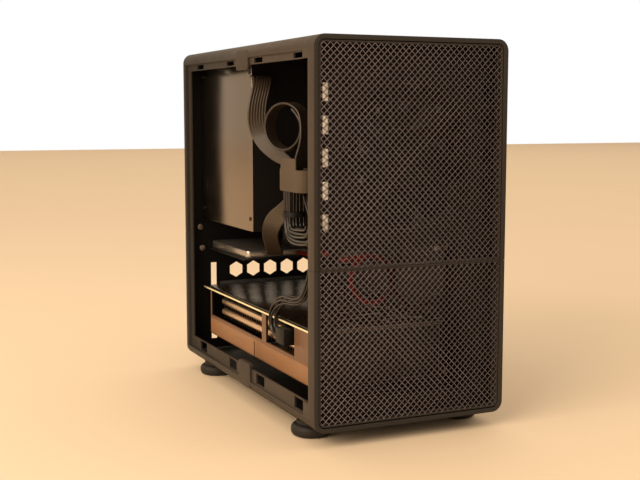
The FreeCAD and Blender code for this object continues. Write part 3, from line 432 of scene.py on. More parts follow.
@dataclass(frozen=True)
class Mottled(Finish):
    """A pale surface that is broken up by soft dark patches."""

    blotch: float = 230.0
    blotch_detail: float = 1.0
    contrast: float = 3.0
    fade: float = 0.6

    def tone(self, graph: Graph) -> Signal:
        """The pale colour, which fades to a dark one and back over a few millimetres.

        Args:
            graph: The material's graph.

        Returns:
            The colour signal.
        """
        cloud = graph.noise(self.blotch, self.blotch_detail) - MIDDLE
        share = graph.clamp(cloud * self.contrast + MIDDLE)
        return graph.blend(share, super().tone(graph), scaled(self.colour, self.fade))


@dataclass(frozen=True)
class Crested(Finish):
    """Painted wire with a painted highlight along its front ridge, dimmed past a plane by painted shade."""

    crest_highlight: Colour = (0.5, 0.425, 0.47)
    highlight_limit: float = 0.93

    def zoned(self, graph: Graph) -> Signal:
        """The paint's colour, with a painted highlight where the surface faces straight ahead."""
        crest_highlight = graph.blend(self.shade_zone.mask(graph), self.crest_highlight, self.shade_zone.colour)
        return graph.blend(graph.normal(Axis.Y) > self.highlight_limit, self.tone(graph), crest_highlight)


@dataclass(frozen=True)
class Woven(Finish):
    """Cloth tape with crossing threads."""

    thread: float = 420.0
    fuzz: float = 2500.0
    fuzz_strength: float = 0.5

    def height(self, graph: Graph) -> Signal:
        """Two crossing sets of bands with a little fuzz."""
        threads = graph.wave(self.thread, Bands.Y) * graph.wave(self.thread, Bands.Z)
        return threads + graph.noise(self.fuzz) * self.fuzz_strength


FINISHES: dict[str, Finish] = {finish.name: finish for finish in (
    # shell_paint: painted shade towards the back, on front and back faces, and on up-facing faces near the
    # ground.
    PowderCoat("shell_paint", (0.046, 0.034, 0.025), roughness=0.5, relief=0.3, grain=1800.0, specular=0.2,
               front=(0.027, 0.023, 0.021), low=0.017, shade_zone=ShadeZone(Axis.Y, -0.04, 0.12, (0.01, 0.0075, 0.005))),
    # mesh_paint: a painted highlight along each wire's front ridge, dimmed towards +X by painted shade.
    Crested("mesh_paint", (0.008, 0.007, 0.0065), roughness=0.34, metallic=0.4, relief=0.05, specular=0.15,
            shade_zone=ShadeZone(Axis.X, -0.04, 0.09, (0.3, 0.255, 0.28))),
    Finish("inner_steel", (0.004, 0.0034, 0.003), roughness=0.6, specular=0.15),
    Brushed("screw", (0.34, 0.3, 0.26), roughness=0.35, metallic=1.0),
    Brushed("dark_screw", (0.05, 0.04, 0.032), roughness=0.45, metallic=1.0),
    Finish("foot_rubber", (0.013, 0.01, 0.008), roughness=0.6, relief=0.3, specular=0.3),
    Finish("black_plastic", (0.006, 0.0052, 0.0048), roughness=0.42, specular=0.2),
    Brushed("bright_steel", (0.55, 0.53, 0.5), roughness=0.32, metallic=1.0),
    # fan_frame: pale only on its left side; painted shade makes the rest of the frame nearly black.
    Mottled("fan_frame", (0.5, 0.44, 0.37), roughness=0.5, specular=0.2,
            shade_zone=ShadeZone(Axis.X, -0.0598, -0.0585, (0.003, 0.0025, 0.002))),
    Finish("fan_rotor", (0.003, 0.0025, 0.002), roughness=0.65, specular=0.12),
    PowderCoat("psu_paint", (0.005, 0.004, 0.0035), roughness=0.55, relief=0.25, specular=0.2),
    Finish("psu_face", (0.268, 0.228, 0.195), roughness=0.24, metallic=1.0, spread=0.08, patch=9.0,
           relief=0.01),
    Finish("drive_case", (0.5, 0.44, 0.39), roughness=0.24, metallic=0.9, spread=0.06, patch=12.0,
           relief=0.0),
    Laminate("board", (0.006, 0.0065, 0.0065), roughness=0.45, specular=0.25),
    Brushed("standoff_brass", (0.7, 0.5, 0.22), roughness=0.3, metallic=1.0),
    # fins: painted shade on the faces that look to the front or back.
    Brushed("fins", (0.22, 0.2, 0.18), roughness=0.4, metallic=1.0, front=(0.012, 0.011, 0.01),
            stretch=(0.04, 1.0, 1.0)),
    Laminate("card_laminate", (0.008, 0.009, 0.008), roughness=0.35, edge_axis=Axis.X),
    Finish("backplate", (0.011, 0.006, 0.0035), roughness=0.26, relief=0.01, specular=0.3),
    # shroud: painted shade above about 52 mm and on the faces that look to the front or back.
    Finish("shroud", (0.29, 0.145, 0.07), roughness=0.4, spread=0.1, specular=0.2,
           shade_zone=ShadeZone(Axis.Z, 0.0515, 0.0525, (0.16, 0.085, 0.047)), front=(0.003, 0.0025, 0.002)),
    Brushed("copper", (0.82, 0.6, 0.4), roughness=0.32, metallic=1.0),
    Finish("cable_black", (0.009, 0.0065, 0.0045), roughness=0.22, coat=0.1, relief=0.02, specular=0.4),
    Finish("coil_black", (0.03, 0.021, 0.014), roughness=0.3, relief=0.02, specular=0.35),
    Finish("ribbon_black", (0.054, 0.038, 0.025), roughness=0.32, relief=0.02, specular=0.35),
    # port_metal: painted shade on the faces that look to the front or back.
    Brushed("port_metal", (0.35, 0.34, 0.33), roughness=0.4, metallic=1.0, front=(0.012, 0.011, 0.011)),
    # cable_red: painted shade, darker to the right of x = 0.
    Finish("cable_red", (0.09, 0.004, 0.003), roughness=0.6, spread=0.9, patch=110.0, specular=0.08,
           shade_zone=ShadeZone(Axis.X, -0.01, 0.0, (0.012, 0.001, 0.0008))),
    Woven("strap_fabric", (0.094, 0.068, 0.048), roughness=0.85, relief=0.6, specular=0.2),
)}


class Wardrobe:
    """Builds each finish once and hands it out."""

    def __init__(self, finishes: dict[str, Finish]) -> None:
        """Keeps the finishes by name, the record's slot names among them."""
        self.finishes = finishes
        self.made: dict[str, bpy.types.Material] = {}

    def dress(self, obj: bpy.types.Object, slot: str, finish: str = "") -> None:
        """Gives an object one finish.

        Args:
            obj: A mesh or curve object.
            slot: The record's slot name.
            finish: The finish's name, where it isn't the slot's.
        """
        chosen = finish or slot
        if chosen not in self.made:
            self.made[chosen] = self.finishes[chosen].material()
        obj.data.materials.clear()
        obj.data.materials.append(self.made[chosen])


# Modelling helpers
# Points within SAME_POINT are one, and faces within FLAT lie in one plane
SAME_POINT = 0.001 * MM
FLAT = math.radians(0.5)


def pick(*objects: bpy.types.Object) -> None:
    """Selects only these objects and makes the first one active.

    Args:
        *objects: One object or more.
    """
    bpy.ops.object.select_all(action="DESELECT")
    for obj in objects:
        obj.select_set(True)
    bpy.context.view_layer.objects.active = objects[0]


@contextmanager
def editing(obj: bpy.types.Object) -> Iterator[None]:
    """Opens an object in edit mode, and leaves that mode at the end.

    Args:
        obj: A mesh object.

    Yields:
        Nothing.
    """
    pick(obj)
    bpy.ops.object.mode_set(mode="EDIT")
    yield
    bpy.ops.object.mode_set(mode="OBJECT")


def deselect_mesh(obj: bpy.types.Object, kind: str) -> None:
    """Leaves nothing selected in a mesh.

    Args:
        obj: A mesh object.
        kind: What edit mode selects from then on, FACE or EDGE.
    """
    with editing(obj):
        bpy.ops.mesh.select_mode(type=kind)
        bpy.ops.mesh.select_all(action="DESELECT")


def named(obj: bpy.types.Object, name: str) -> bpy.types.Object:
    """Names an object and its data.

    Args:
        obj: The object.
        name: The name for both.

    Returns:
        The same object.
    """
    obj.name = name
    obj.data.name = name
    return obj


def linked(name: str, data: bpy.types.ID) -> bpy.types.Object:
    """Makes an object from its data and links it to the scene.

    Args:
        name: The object's name.
        data: A mesh, curve, camera or light.

    Returns:
        The new object.
    """
    made = bpy.data.objects.new(name, data)
    bpy.context.scene.collection.objects.link(made)
    return made


def add(name: str, primitive: Callable[..., Any], **settings: Any) -> bpy.types.Object:
    """Adds a primitive and names it.

    Args:
        name: The piece's name.
        primitive: A bpy.ops.mesh operator.
        **settings: The operator's settings.

    Returns:
        The new object.
    """
    bpy.ops.object.select_all(action="DESELECT")
    primitive(**settings)
    return named(bpy.context.object, name)


def settle() -> None:
    """Puts the active object's place, turn and scale into its mesh."""
    bpy.ops.object.transform_apply(location=True, rotation=True, scale=True)


def cube(name: str, low: Sequence[float], high: Sequence[float]) -> bpy.types.Object:
    """Adds a box between two corners.

    Args:
        name: The piece's name.
        low: The lowest corner.
        high: The highest corner.

    Returns:
        The box.
    """
    low, high = Vector(low), Vector(high)
    made = add(name, bpy.ops.mesh.primitive_cube_add, size=1.0, location=(low + high) / 2)
    made.scale = high - low
    settle()
    return made


def modify(obj: bpy.types.Object, kind: str, **settings: Any) -> None:
    """Adds a modifier and applies it.

    Args:
        obj: The object.
        kind: The modifier's type.
        **settings: Its properties.
    """
    pick(obj)
    made = obj.modifiers.new(kind.lower(), kind)
    for key, value in settings.items():
        setattr(made, key, value)
    bpy.ops.object.modifier_apply(modifier=made.name)


def smooth(obj: bpy.types.Object, degrees: float = 35.0) -> None:
    """Shades an object smooth, except over edges that turn by more than an angle."""
    pick(obj)
    bpy.ops.object.shade_smooth_by_angle(angle=math.radians(degrees))


def round_edges(obj: bpy.types.Object, width: float, segments: int = 2, degrees: float = 40.0) -> None:
    """Bevels the sharp edges of an object.

    Args:
        obj: The object.
        width: The bevel's width in metres.
        segments: Its segments.
        degrees: The least angle of a bevelled edge.
    """
    limit = math.radians(degrees)
    modify(obj, "BEVEL", width=width, segments=segments, limit_method="ANGLE", angle_limit=limit)
    smooth(obj)


def copied(source: bpy.types.Object, name: str, move: Vector) -> bpy.types.Object:
    """Copies an object with its own mesh, and moves the copy.

    Args:
        source: The object.
        name: The copy's name.
        move: How far the copy lies from the source.

    Returns:
        The copy.
    """
    pick(source)
    bpy.ops.object.duplicate()
    made = named(bpy.context.object, name)
    made.location = move
    settle()
    return made


def soft_copy(node: str, width: float) -> bpy.types.Object:
    """Copies a CAD node's mesh and breaks its sharp edges.

    Args:
        node: The CAD node.
        width: The width of the broken edge in metres.

    Returns:
        The copy, in the same place.
    """
    mesh = frame["nodes"][node].data.copy()
    made = named(linked(f"{node}_soft", mesh), f"{node}_soft")
    with editing(made):
        bpy.ops.mesh.select_all(action="SELECT")
        bpy.ops.mesh.remove_doubles(threshold=SAME_POINT)
        bpy.ops.mesh.dissolve_limited(angle_limit=FLAT)
    round_edges(made, width)
    return made


def join(name: str, pieces: Sequence[bpy.types.Object]) -> bpy.types.Object:
    """Joins objects to one.

    Args:
        name: The result's name.
        pieces: The objects, of one type.

    Returns:
        The joined object.
    """
    pick(*pieces)
    bpy.ops.object.join()
    return named(bpy.context.object, name)


def trim(obj: bpy.types.Object, point: Vector, normal: Vector) -> None:
    """Cuts an object with a plane, drops what lies ahead of it and closes the cut.

    Args:
        obj: The object.
        point: A point on the plane.
        normal: The direction of what is dropped.
    """
    with editing(obj):
        bpy.ops.mesh.select_all(action="SELECT")
        bpy.ops.mesh.bisect(plane_co=point, plane_no=normal, use_fill=True, clear_outer=True)


@dataclass
class Assembly:
    """A group of pieces that are built and dressed together."""

    wardrobe: Wardrobe

    def take(self, obj: bpy.types.Object, slot: str, body: Body = Body.CASE, *nodes: str,
             finish: str = "") -> None:
        """Dresses a piece, hangs it on its body and hides the CAD nodes that it stands for.

        Args:
            obj: The piece.
            slot: The record's slot name.
            body: The body that it rides on.
            *nodes: CAD nodes that it replaces.
            finish: The finish's name, where it isn't the slot's.
        """
        self.wardrobe.dress(obj, slot, finish)
        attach(obj, body.value)
        if nodes:
            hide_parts(*nodes)
        log.info("%s: %s", type(self).__name__, obj.name)


@dataclass
class CarriedNodes(Assembly):
    """The CAD solids that are shown as they are."""

    special: dict[str, str] = field(default_factory=lambda: {
        "rear_ports": "port_metal",
        "psu_cover_screws": "dark_screw",
    })

    def build(self) -> None:
        """Gives every CAD node the finish of its slot."""
        for entry in frame["record"]["subparts"]:
            node = frame["nodes"][entry["node"]]
            self.wardrobe.dress(node, entry["material_slot"], self.special.get(entry["node"], ""))
            log.info("%s: %s", type(self).__name__, entry["node"])


@dataclass
class SoftEdges(Assembly):
    """Painted and moulded pieces whose edges catch the light."""

    widths: dict[str, tuple[float, str]] = field(default_factory=lambda: {
        "upper_shell": (0.6 * MM, "shell_paint"),
        "lower_shell": (0.6 * MM, "shell_paint"),
        "card_shroud": (0.5 * MM, "shroud"),
        "drive": (0.8 * MM, "drive_case"),
        "psu_cover": (0.3 * MM, "psu_face"),
        "card_backplate": (0.3 * MM, "backplate"),
        "cable_strap": (0.5 * MM, "strap_fabric"),
        "front_fan_frame": (0.8 * MM, "fan_frame"),
        "card_power_plug": (0.8 * MM, "black_plastic"),
    })

    def build(self) -> None:
        """Makes a soft-edged copy of each listed node."""
        for node, (width, slot) in self.widths.items():
            self.take(soft_copy(node, width), slot, Body.CASE, node)


@dataclass
class FrontMesh(Assembly):
    """A front panel: a thin rim and crossing wires on the diagonal."""

    node: str = "upper_front_mesh"
    body: Body = Body.UPPER_MESH
    round_top: bool = True
    cell: float = 5.18 * MM
    wire: float = 0.8 * MM
    under_wire: float = 0.75 * MM
    layer: float = 0.32 * MM
    wire_sides: int = 8
    wire_reach: float = 1.5
    wire_smooth: float = 50.0
    spare_wires: int = 2
    rim: float = 1.5 * MM
    rim_edge: float = 0.25 * MM
    corner: float = 4.7 * MM
    corner_steps: int = 6
    inset_share: float = 0.6

    def outer(self, low: Vector, high: Vector) -> float:
        """The height of the side that has round corners."""
        return high.z if self.round_top else low.z

    def rim_piece(self, low: Vector, high: Vector) -> bpy.types.Object:
        """The rim: a band round the panel, round at its outer corners.

        Args:
            low: The panel's lowest corner.
            high: The panel's highest corner.

        Returns:
            The rim.
        """
        made = cube(f"{self.node}_rim", low, high)
        deselect_mesh(made, "FACE")
        for face in made.data.polygons:
            face.select = abs(face.normal.y) > FACING
        with editing(made):
            bpy.ops.mesh.delete(type="FACE")
        deselect_mesh(made, "EDGE")
        for edge in made.data.edges:
            ends = [made.data.vertices[i].co for i in edge.vertices]
            lengthwise = abs(ends[0].y - ends[1].y) > self.rim
            edge.select = lengthwise and abs(ends[0].z - self.outer(low, high)) < self.rim
        with editing(made):
            bpy.ops.mesh.bevel(offset=self.corner, segments=self.corner_steps, affect="EDGES")
        modify(made, "SOLIDIFY", thickness=self.rim, offset=-1.0)
        round_edges(made, self.rim_edge)
        return made

    def wires(self, low: Vector, high: Vector, slant: Slant) -> bpy.types.Object:
        """One set of parallel wires, cut off inside the rim.

        Args:
            low: The panel's lowest corner.
            high: The panel's highest corner.
            slant: The way in which they lean.

        Returns:
            The wires as one object.
        """
        wide = high.x - low.x
        tall = high.z - low.z
        count = int((wide + tall) / self.cell) + self.spare_wires
        rising = slant is Slant.RISING
        thick = self.wire if rising else self.under_wire
        depth = low.y + self.wire / 2 + (0.0 if rising else self.layer)
        made = add(f"{self.node}_wires_{slant.name.lower()}", bpy.ops.mesh.primitive_cylinder_add,
                   vertices=self.wire_sides, radius=thick / 2, depth=tall * self.wire_reach,
                   location=(low.x - tall / 2 - self.cell, depth, (low.z + high.z) / 2),
                   rotation=(0.0, slant * math.radians(45.0), 0.0))
        settle()
        modify(made, "ARRAY", count=count, use_relative_offset=False, use_constant_offset=True,
               constant_offset_displace=(self.cell, 0.0, 0.0))
        self.cut_to_rim(made, low, high)
        smooth(made, self.wire_smooth)
        return made

    def cut_to_rim(self, made: bpy.types.Object, low: Vector, high: Vector) -> None:
        """Cuts wires off inside the rim, at its sides and at its two round corners.

        Args:
            made: The wires.
            low: The panel's lowest corner.
            high: The panel's highest corner.
        """
        inset = self.rim * self.inset_share
        within = Vector((inset, 0.0, inset))
        for way in (Vector((1.0, 0.0, 0.0)), Vector((0.0, 0.0, 1.0))):
            trim(made, low + within, -way)
            trim(made, high - within, way)
        up = 1.0 if self.round_top else -1.0
        for side, edge in ((-1.0, low.x), (1.0, high.x)):
            middle = Vector((edge - side * self.corner, 0.0, self.outer(low, high) - up * self.corner))
            way = Vector((side, 0.0, up)).normalized()
            trim(made, middle + way * (self.corner - inset), way)

    def build(self) -> None:
        """Makes both sets of wires as one piece, and the painted rim round them."""
        low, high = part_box(self.node)
        crossed = [self.wires(low, high, slant) for slant in Slant]
        self.take(join(f"{self.node}_weave", crossed), "mesh_paint", self.body, self.node)
        self.take(self.rim_piece(low, high), "shell_paint", self.body)


# Cables
# From the origin to the front face and up to the body's bottom, in millimetres
FRONT_FACE = 156.0
FEET = 12.5


def near(x: float, from_front: float, rise: float) -> Point:
    """A cable point in metres, from X, the way behind the front and the rise in millimetres."""
    return (x * MM, (from_front - FRONT_FACE) * MM, (rise + FEET) * MM)


def thicken(curve: bpy.types.Object, diameter: float, steps: int) -> None:
    """Gives a curve a round section and closed ends.

    Args:
        curve: The curve object.
        diameter: The section's diameter in metres.
        steps: The section's resolution.
    """
    curve.data.bevel_depth = diameter / 2
    curve.data.bevel_resolution = steps
    curve.data.use_fill_caps = True


def as_mesh(curve: bpy.types.Object) -> bpy.types.Object:
    """Turns a curve object into a mesh object.

    Args:
        curve: The curve object.

    Returns:
        The mesh object.
    """
    pick(curve)
    bpy.ops.object.convert(target="MESH")
    return bpy.context.object


def stage(values: Stages, share: float) -> float:
    """A value on the way, from values that are spread evenly over it.

    Args:
        values: The values in order.
        share: The share of the way.

    Returns:
        The value there.
    """
    place = share * (len(values) - 1)
    before = int(place)
    after = min(before + 1, len(values) - 1)
    return values[before] + (values[after] - values[before]) * (place - before)


@dataclass(frozen=True)
class Route:
    """A cable's path: the points of its NURBS line, in metres, and the direction of a flat cable's width."""

    points: tuple[Point, ...]
    row: Point = (1.0, 0.0, 0.0)
    order: int = 3
    steps: int = 8

    def curve(self, name: str) -> bpy.types.Object:
        """Makes a curve object along the path.

        Args:
            name: The curve's name.

        Returns:
            A curve object with one NURBS spline.
        """
        data = bpy.data.curves.new(name, "CURVE")
        data.dimensions = "3D"
        spline = data.splines.new("NURBS")
        spline.points.add(len(self.points) - 1)
        for target, place in zip(spline.points, self.points):
            target.co = (*place, 1.0)
        spline.order_u = self.order
        spline.use_endpoint_u = True
        spline.resolution_u = self.steps
        return linked(name, data)

    def line(self) -> list[Point]:
        """The points that the NURBS line passes through.

        Returns:
            Points in metres, in order.
        """
        made = self.curve("line")
        mesh = bpy.data.meshes.new_from_object(made)
        points = [tuple(vertex.co) for vertex in mesh.vertices]
        bpy.data.meshes.remove(mesh)
        bpy.data.objects.remove(made)
        return points

    def beside(self, shift: Callable[[float], Shift]) -> "Route":
        """A path that runs beside this one.

        Args:
            shift: Gives the shift along the row and the shift across it, in metres, for a share of the way.

        Returns:
            The shifted path.
        """
        count = len(self.points)
        row = Vector(self.row)
        moved = []
        for index, place in enumerate(self.points):
            before = Vector(self.points[max(index - 1, 0)])
            after = Vector(self.points[min(index + 1, count - 1)])
            across = (after - before).cross(row).normalized()
            sideways, deep = shift(index / (count - 1))
            moved.append(tuple(Vector(place) + row * sideways + across * deep))
        return Route(tuple(moved), self.row)


@dataclass
class RoundLead(Assembly):
    """A single round cable along a route."""

    route: Route
    node: str
    slot: str
    diameter: float
    length: float
    section_steps: int = 4

    def build(self) -> None:
        made = self.route.curve(f"{self.node}_tube")
        thicken(made, self.diameter, self.section_steps)
        self.take(made, self.slot, Body.CASE, self.node)


@dataclass
class Strands(Assembly):
    """A cable of several round wires that lie side by side along one route."""

    route: Route
    node: str
    slot: str
    width: float
    length: float
    wire: float
    count: int = 1
    far_end: FarEnd = FarEnd.OBJECT
    finish: str = ""
    section_steps: int = 2

    def shift(self, index: int, share: float) -> Shift:
        """Where one wire lies beside the route.

        Args:
            index: The wire's number.
            share: The share of the way.

        Returns:
            The shift along the row and the shift across it, in metres.
        """
        raise NotImplementedError

    def swell(self, share: float) -> float:
        """The share of the full diameter that the wires have at a share of the way."""
        return 1.0

    def extras(self) -> list[bpy.types.Object]:
        """What joins the wires, as mesh objects: nothing, where they are loose."""
        return []

    def wire_curve(self, index: int, name: str) -> bpy.types.Object:
        """A curve along the middle of one wire."""
        return self.route.beside(partial(self.shift, index)).curve(name)

    def tube(self, index: int) -> bpy.types.Object:
        """One wire.

        Args:
            index: The wire's number.

        Returns:
            A mesh tube.
        """
        made = self.wire_curve(index, f"{self.node}_wire_{index}")
        thicken(made, self.wire, self.section_steps)
        points = made.data.splines[0].points
        for place, target in enumerate(points):
            target.radius = self.swell(place / (len(points) - 1))
        return as_mesh(made)

    def build(self) -> None:
        wires = [self.tube(index) for index in range(self.count)]
        made = join(f"{self.node}_wires", wires + self.extras())
        self.take(made, self.slot, Body.CASE, self.node, finish=self.finish)
        self.route.line()


@dataclass
class Ribbon(Strands):
    """A flat cable: wires in a row with a web between them, turned on its way and pinched by a strap."""

    count: int = 7
    twist: Stages = (0.0,)
    pinch: Stages = (0.0,)
    ridges: Stages = (1.0,)
    web: float = 1.7 * MM

    def shift(self, index: int, share: float) -> Shift:
        """An even place in the row, which the twist turns and the pinch draws together.

        Args:
            index: The wire's number.
            share: The share of the way.

        Returns:
            The shift along the row and the shift across it, in metres.
        """
        pitch = (self.width - self.wire) / (self.count - 1)
        aside = (index - (self.count - 1) / 2) * pitch * (1.0 - stage(self.pinch, share))
        turn = math.radians(stage(self.twist, share))
        return aside * math.cos(turn), aside * math.sin(turn)

    def swell(self, share: float) -> float:
        """The ridges over the web, which are pressed flat on part of the way."""
        return stage(self.ridges, share)

    def extras(self) -> list[bpy.types.Object]:
        """The web: a strip between the two outer wires.

        Returns:
            The strip, in a list.
        """
        edges = [as_mesh(self.wire_curve(index, f"{self.node}_edge")) for index in (0, self.count - 1)]
        made = join(f"{self.node}_web", edges)
        with editing(made):
            bpy.ops.mesh.select_all(action="SELECT")
            bpy.ops.mesh.bridge_edge_loops()
        modify(made, "SOLIDIFY", thickness=self.web, offset=0.0)
        smooth(made)
        return [made]


@dataclass
class Bundle(Strands):
    """Wires on a circle round the route, slowly twisted."""

    count: int = 6
    turns: float = 0.6
    spread: float = 0.7
    spread_end: float = 0.5

    def shift(self, index: int, share: float) -> Shift:
        """A place on a circle that turns along the way, and bulges on its first part.

        Args:
            index: The wire's number.
            share: The share of the way.

        Returns:
            The shift along the row and the shift across it, in metres.
        """
        least = (self.width - self.wire) / 2
        bulge = self.spread * math.sin(math.pi * min(share / self.spread_end, 1.0))
        radius = least * (1.0 + bulge)
        angle = 2.0 * math.pi * (index / self.count + self.turns * share)
        return radius * math.cos(angle), radius * math.sin(angle)


@dataclass
class Hank(Strands):
    """Folded wires in a block of as many layers as rows."""

    count: int = 25
    layers: int = 5
    sway: float = 0.5 * MM
    sway_turn: float = 6.0
    row_turn: float = 1.7
    layer_turn: float = 2.9

    def shift(self, index: int, share: float) -> Shift:
        """A place in a grid across the route, a little uneven from wire to wire.

        Args:
            index: The wire's number.
            share: The share of the way.

        Returns:
            The shift along the row and the shift across it, in metres.
        """
        row, layer = divmod(index, self.layers)
        pitch = (self.width - self.wire) / (self.layers - 1)
        middle = (self.layers - 1) / 2
        angle = self.sway_turn * share + self.row_turn * row + self.layer_turn * layer
        sway = self.sway * math.sin(angle)
        return (row - middle) * pitch + sway, (layer - middle) * pitch - sway


# Cable routes
POWER_RIBBON = Route((
    near(-60, 168.8, 270.5), near(-60, 159, 270.5), near(-64, 151.5, 262), near(-69, 150, 246),
    near(-69.5, 150, 229), near(-65, 143, 214), near(-58.5, 124, 202), near(-55.5, 104.5, 198),
    near(-55.5, 104.5, 172), near(-56, 117, 160), near(-57.5, 142, 148), near(-51, 169, 133),
    near(-40, 185, 117.8), near(-34, 196, 110.2), near(-34, 207.3, 110.2),
))
RIBBON_TWIST = (0, 0, 0, 0, 12, 40, 62, 62, 58, 48, 44, 32, 10, 0, 0)
RIBBON_PINCH = (0, 0, 0, 0, 0, 0, 0.25, 0.6, 0.6, 0.2, 0, 0, 0, 0, 0)
RIBBON_RIDGES = (1, 1, 1, 1, 0.9, 0.6, 0.6, 0.6, 0.6, 0.62, 0.66, 0.62, 0.62, 0.8, 1)
CARD_LEAD = Route((
    near(-69.8, 99, 56), near(-69.8, 111, 56), near(-70.2, 114, 75), near(-69.8, 92, 89),
    near(-69.8, 62, 90), near(-69.8, 46, 97), near(-68.8, 36, 120), near(-65.8, 38, 150),
    near(-61.8, 54, 163), near(-57.8, 73, 172), near(-55.8, 77, 188),
))
# The red lead's ring and the spare ribbon's, in millimetres and degrees, with middles as near takes them
LOOP_RADIUS = 19.5
LOOP_MIDDLE = (-12.0, 40.0, 107.0)
LOOP_START = 60.0
LOOP_STEP = 40.0
LOOP_DRIFT = 0.9
LOOP_POINTS = 12
COIL_RADIUS = 19.7
COIL_MIDDLE = (-58.2, 108.0, 228.0)
COIL_SKEW = math.radians(30)
COIL_BOTTOM = 180.0
COIL_DRAW = 0.02
COIL_ANGLES = range(-60, 331, 30)


def on_loop(index: int) -> Point:
    """A point on the red lead's ring, which drifts toward the back as it winds.

    Args:
        index: The point's number.

    Returns:
        The point in metres.
    """
    x, from_front, rise = LOOP_MIDDLE
    turn = math.radians(LOOP_START - LOOP_STEP * index)
    aside = LOOP_RADIUS * math.cos(turn)
    up = LOOP_RADIUS * math.sin(turn)
    return near(x + aside, from_front + LOOP_DRIFT * index, rise + up)


def on_coil(turn: float) -> Point:
    """A point on the spare ribbon's ring, which winds inward once it is past its bottom.

    Args:
        turn: Degrees from the top, toward the back.

    Returns:
        The point in metres.
    """
    x, from_front, rise = COIL_MIDDLE
    radius = COIL_RADIUS - max(0.0, turn - COIL_BOTTOM) * COIL_DRAW
    aside = radius * math.sin(math.radians(turn))
    up = radius * math.cos(math.radians(turn))
    return near(x - aside * math.sin(COIL_SKEW), from_front + aside * math.cos(COIL_SKEW), rise + up)


DATA_LEAD = Route((
    near(-6, 207.3, 110), near(-6, 184, 110), near(-8, 160, 114), near(-13, 134, 118), near(-18, 106, 119),
    near(-24, 80, 119.5), near(-26, 58, 122), near(-20, 44, 127),
    *(on_loop(index) for index in range(LOOP_POINTS)),
    near(20, 50, 84), near(40, 63, 78), near(48.4, 68, 80), near(56.4, 68, 80),
))
SPARE_COIL = Route((
    near(-57, 95, 183), near(-55, 93, 200), near(-50, 90, 218), *(on_coil(turn) for turn in COIL_ANGLES),
), (math.cos(COIL_SKEW), math.sin(COIL_SKEW), 0.0))
SPARE_HANK = Route((
    near(-58.2, 96, 181), near(-58.2, 96, 165), near(-58.2, 96.5, 151), near(-58.2, 93, 141.5),
    near(-58.2, 82, 139.8), near(-58.2, 66, 140.6), near(-58.2, 54, 142), near(-58.2, 51, 148),
))


@dataclass
class Cables(Assembly):
    """Every cable, and the tie on the spare wires."""

    tie_place: Point = near(-58.2, 96, 157)
    tie_radius: float = 9.4 * MM
    tie_height: float = 4.0 * MM
    tie_wall: float = 0.8 * MM
    tie_sides: int = 32

    def tie(self) -> bpy.types.Object:
        """The tie: a thin ring round the spare wires.

        Returns:
            The tie.
        """
        made = add("hank_tie", bpy.ops.mesh.primitive_cylinder_add, vertices=self.tie_sides,
                   radius=self.tie_radius, depth=self.tie_height, end_fill_type="NOTHING",
                   location=self.tie_place)
        settle()
        modify(made, "SOLIDIFY", thickness=self.tie_wall, offset=-1.0)
        smooth(made)
        return made

    def build(self) -> None:
        """Builds the cables one after another, and then the tie."""
        dress = self.wardrobe
        Ribbon(dress, POWER_RIBBON, "power_ribbon", "cable_black", width=17.0 * MM, length=0.2629,
               wire=2.45 * MM, twist=RIBBON_TWIST, pinch=RIBBON_PINCH, ridges=RIBBON_RIDGES,
               finish="ribbon_black").build()
        Bundle(dress, CARD_LEAD, "card_power_lead", "cable_black", width=6.0 * MM, length=0.2112,
               wire=1.8 * MM).build()
        RoundLead(dress, DATA_LEAD, "data_lead", "cable_red", diameter=4.0 * MM, length=0.388).build()
        Ribbon(dress, SPARE_COIL, "ribbon_coil", "cable_black", width=14.0 * MM, length=0.181,
               wire=2.3 * MM, count=6, finish="coil_black").build()
        Hank(dress, SPARE_HANK, "wire_hank", "cable_black", width=14.0 * MM, length=0.084,
             wire=2.1 * MM, far_end=FarEnd.BARE).build()
        self.take(self.tie(), "black_plastic")


@dataclass
class RearScrews(Assembly):
    """Pan-head screws on the inner face of the rear panel."""

    radius: float = 3.0 * MM
    height: float = 2.0 * MM
    edge: float = 0.6 * MM
    edge_steps: int = 3
    sides: int = 24
    places: tuple[tuple[float, float], ...] = ((-68.9, 127.2), (-67.1, 106.1))

    def head(self, name: str, place: Vector) -> bpy.types.Object:
        """One screw head with rounded edges, along Y.

        Args:
            name: The head's name.
            place: The middle of the head.

        Returns:
            The head.
        """
        made = add(name, bpy.ops.mesh.primitive_cylinder_add, vertices=self.sides, radius=self.radius,
                   depth=self.height, location=place, rotation=(math.radians(90.0), 0.0, 0.0))
        settle()
        round_edges(made, self.edge, self.edge_steps)
        return made

    def build(self) -> None:
        """Sets the first head on the panel, and copies of it at the other places."""
        panel_low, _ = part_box("rear_panel")
        spots = [Vector(near(x, 0.0, rise)) for x, rise in self.places]
        for spot in spots:
            spot.y = panel_low.y - self.height / 2
        first = self.head("rear_inner_screw_0", spots[0])
        heads = [first]
        for index, spot in enumerate(spots[1:], 1):
            heads.append(copied(first, f"rear_inner_screw_{index}", spot - spots[0]))
        for made in heads:
            self.take(made, "screw")


# Studio
@dataclass(frozen=True)
class Lamp:
    """A soft rectangular light: where it hangs and points, its size in metres and its power in watts."""

    name: str
    place: Point
    target: Point
    size: tuple[float, float]
    power: float
    colour: Colour = (1.0, 0.83, 0.64)

    def hang(self) -> None:
        """Adds the light to the scene."""
        data = bpy.data.lights.new(self.name, "AREA")
        data.shape = "RECTANGLE"
        data.size, data.size_y = self.size
        data.energy = self.power
        data.color = self.colour
        made = linked(self.name, data)
        made.location = self.place
        point_at(made, Vector(self.target) - Vector(self.place))


def point_at(obj: bpy.types.Object, way: Vector) -> None:
    """Turns a camera or a light to look along a direction."""
    obj.rotation_mode = "QUATERNION"
    obj.rotation_quaternion = way.to_track_quat("-Z", "Y")


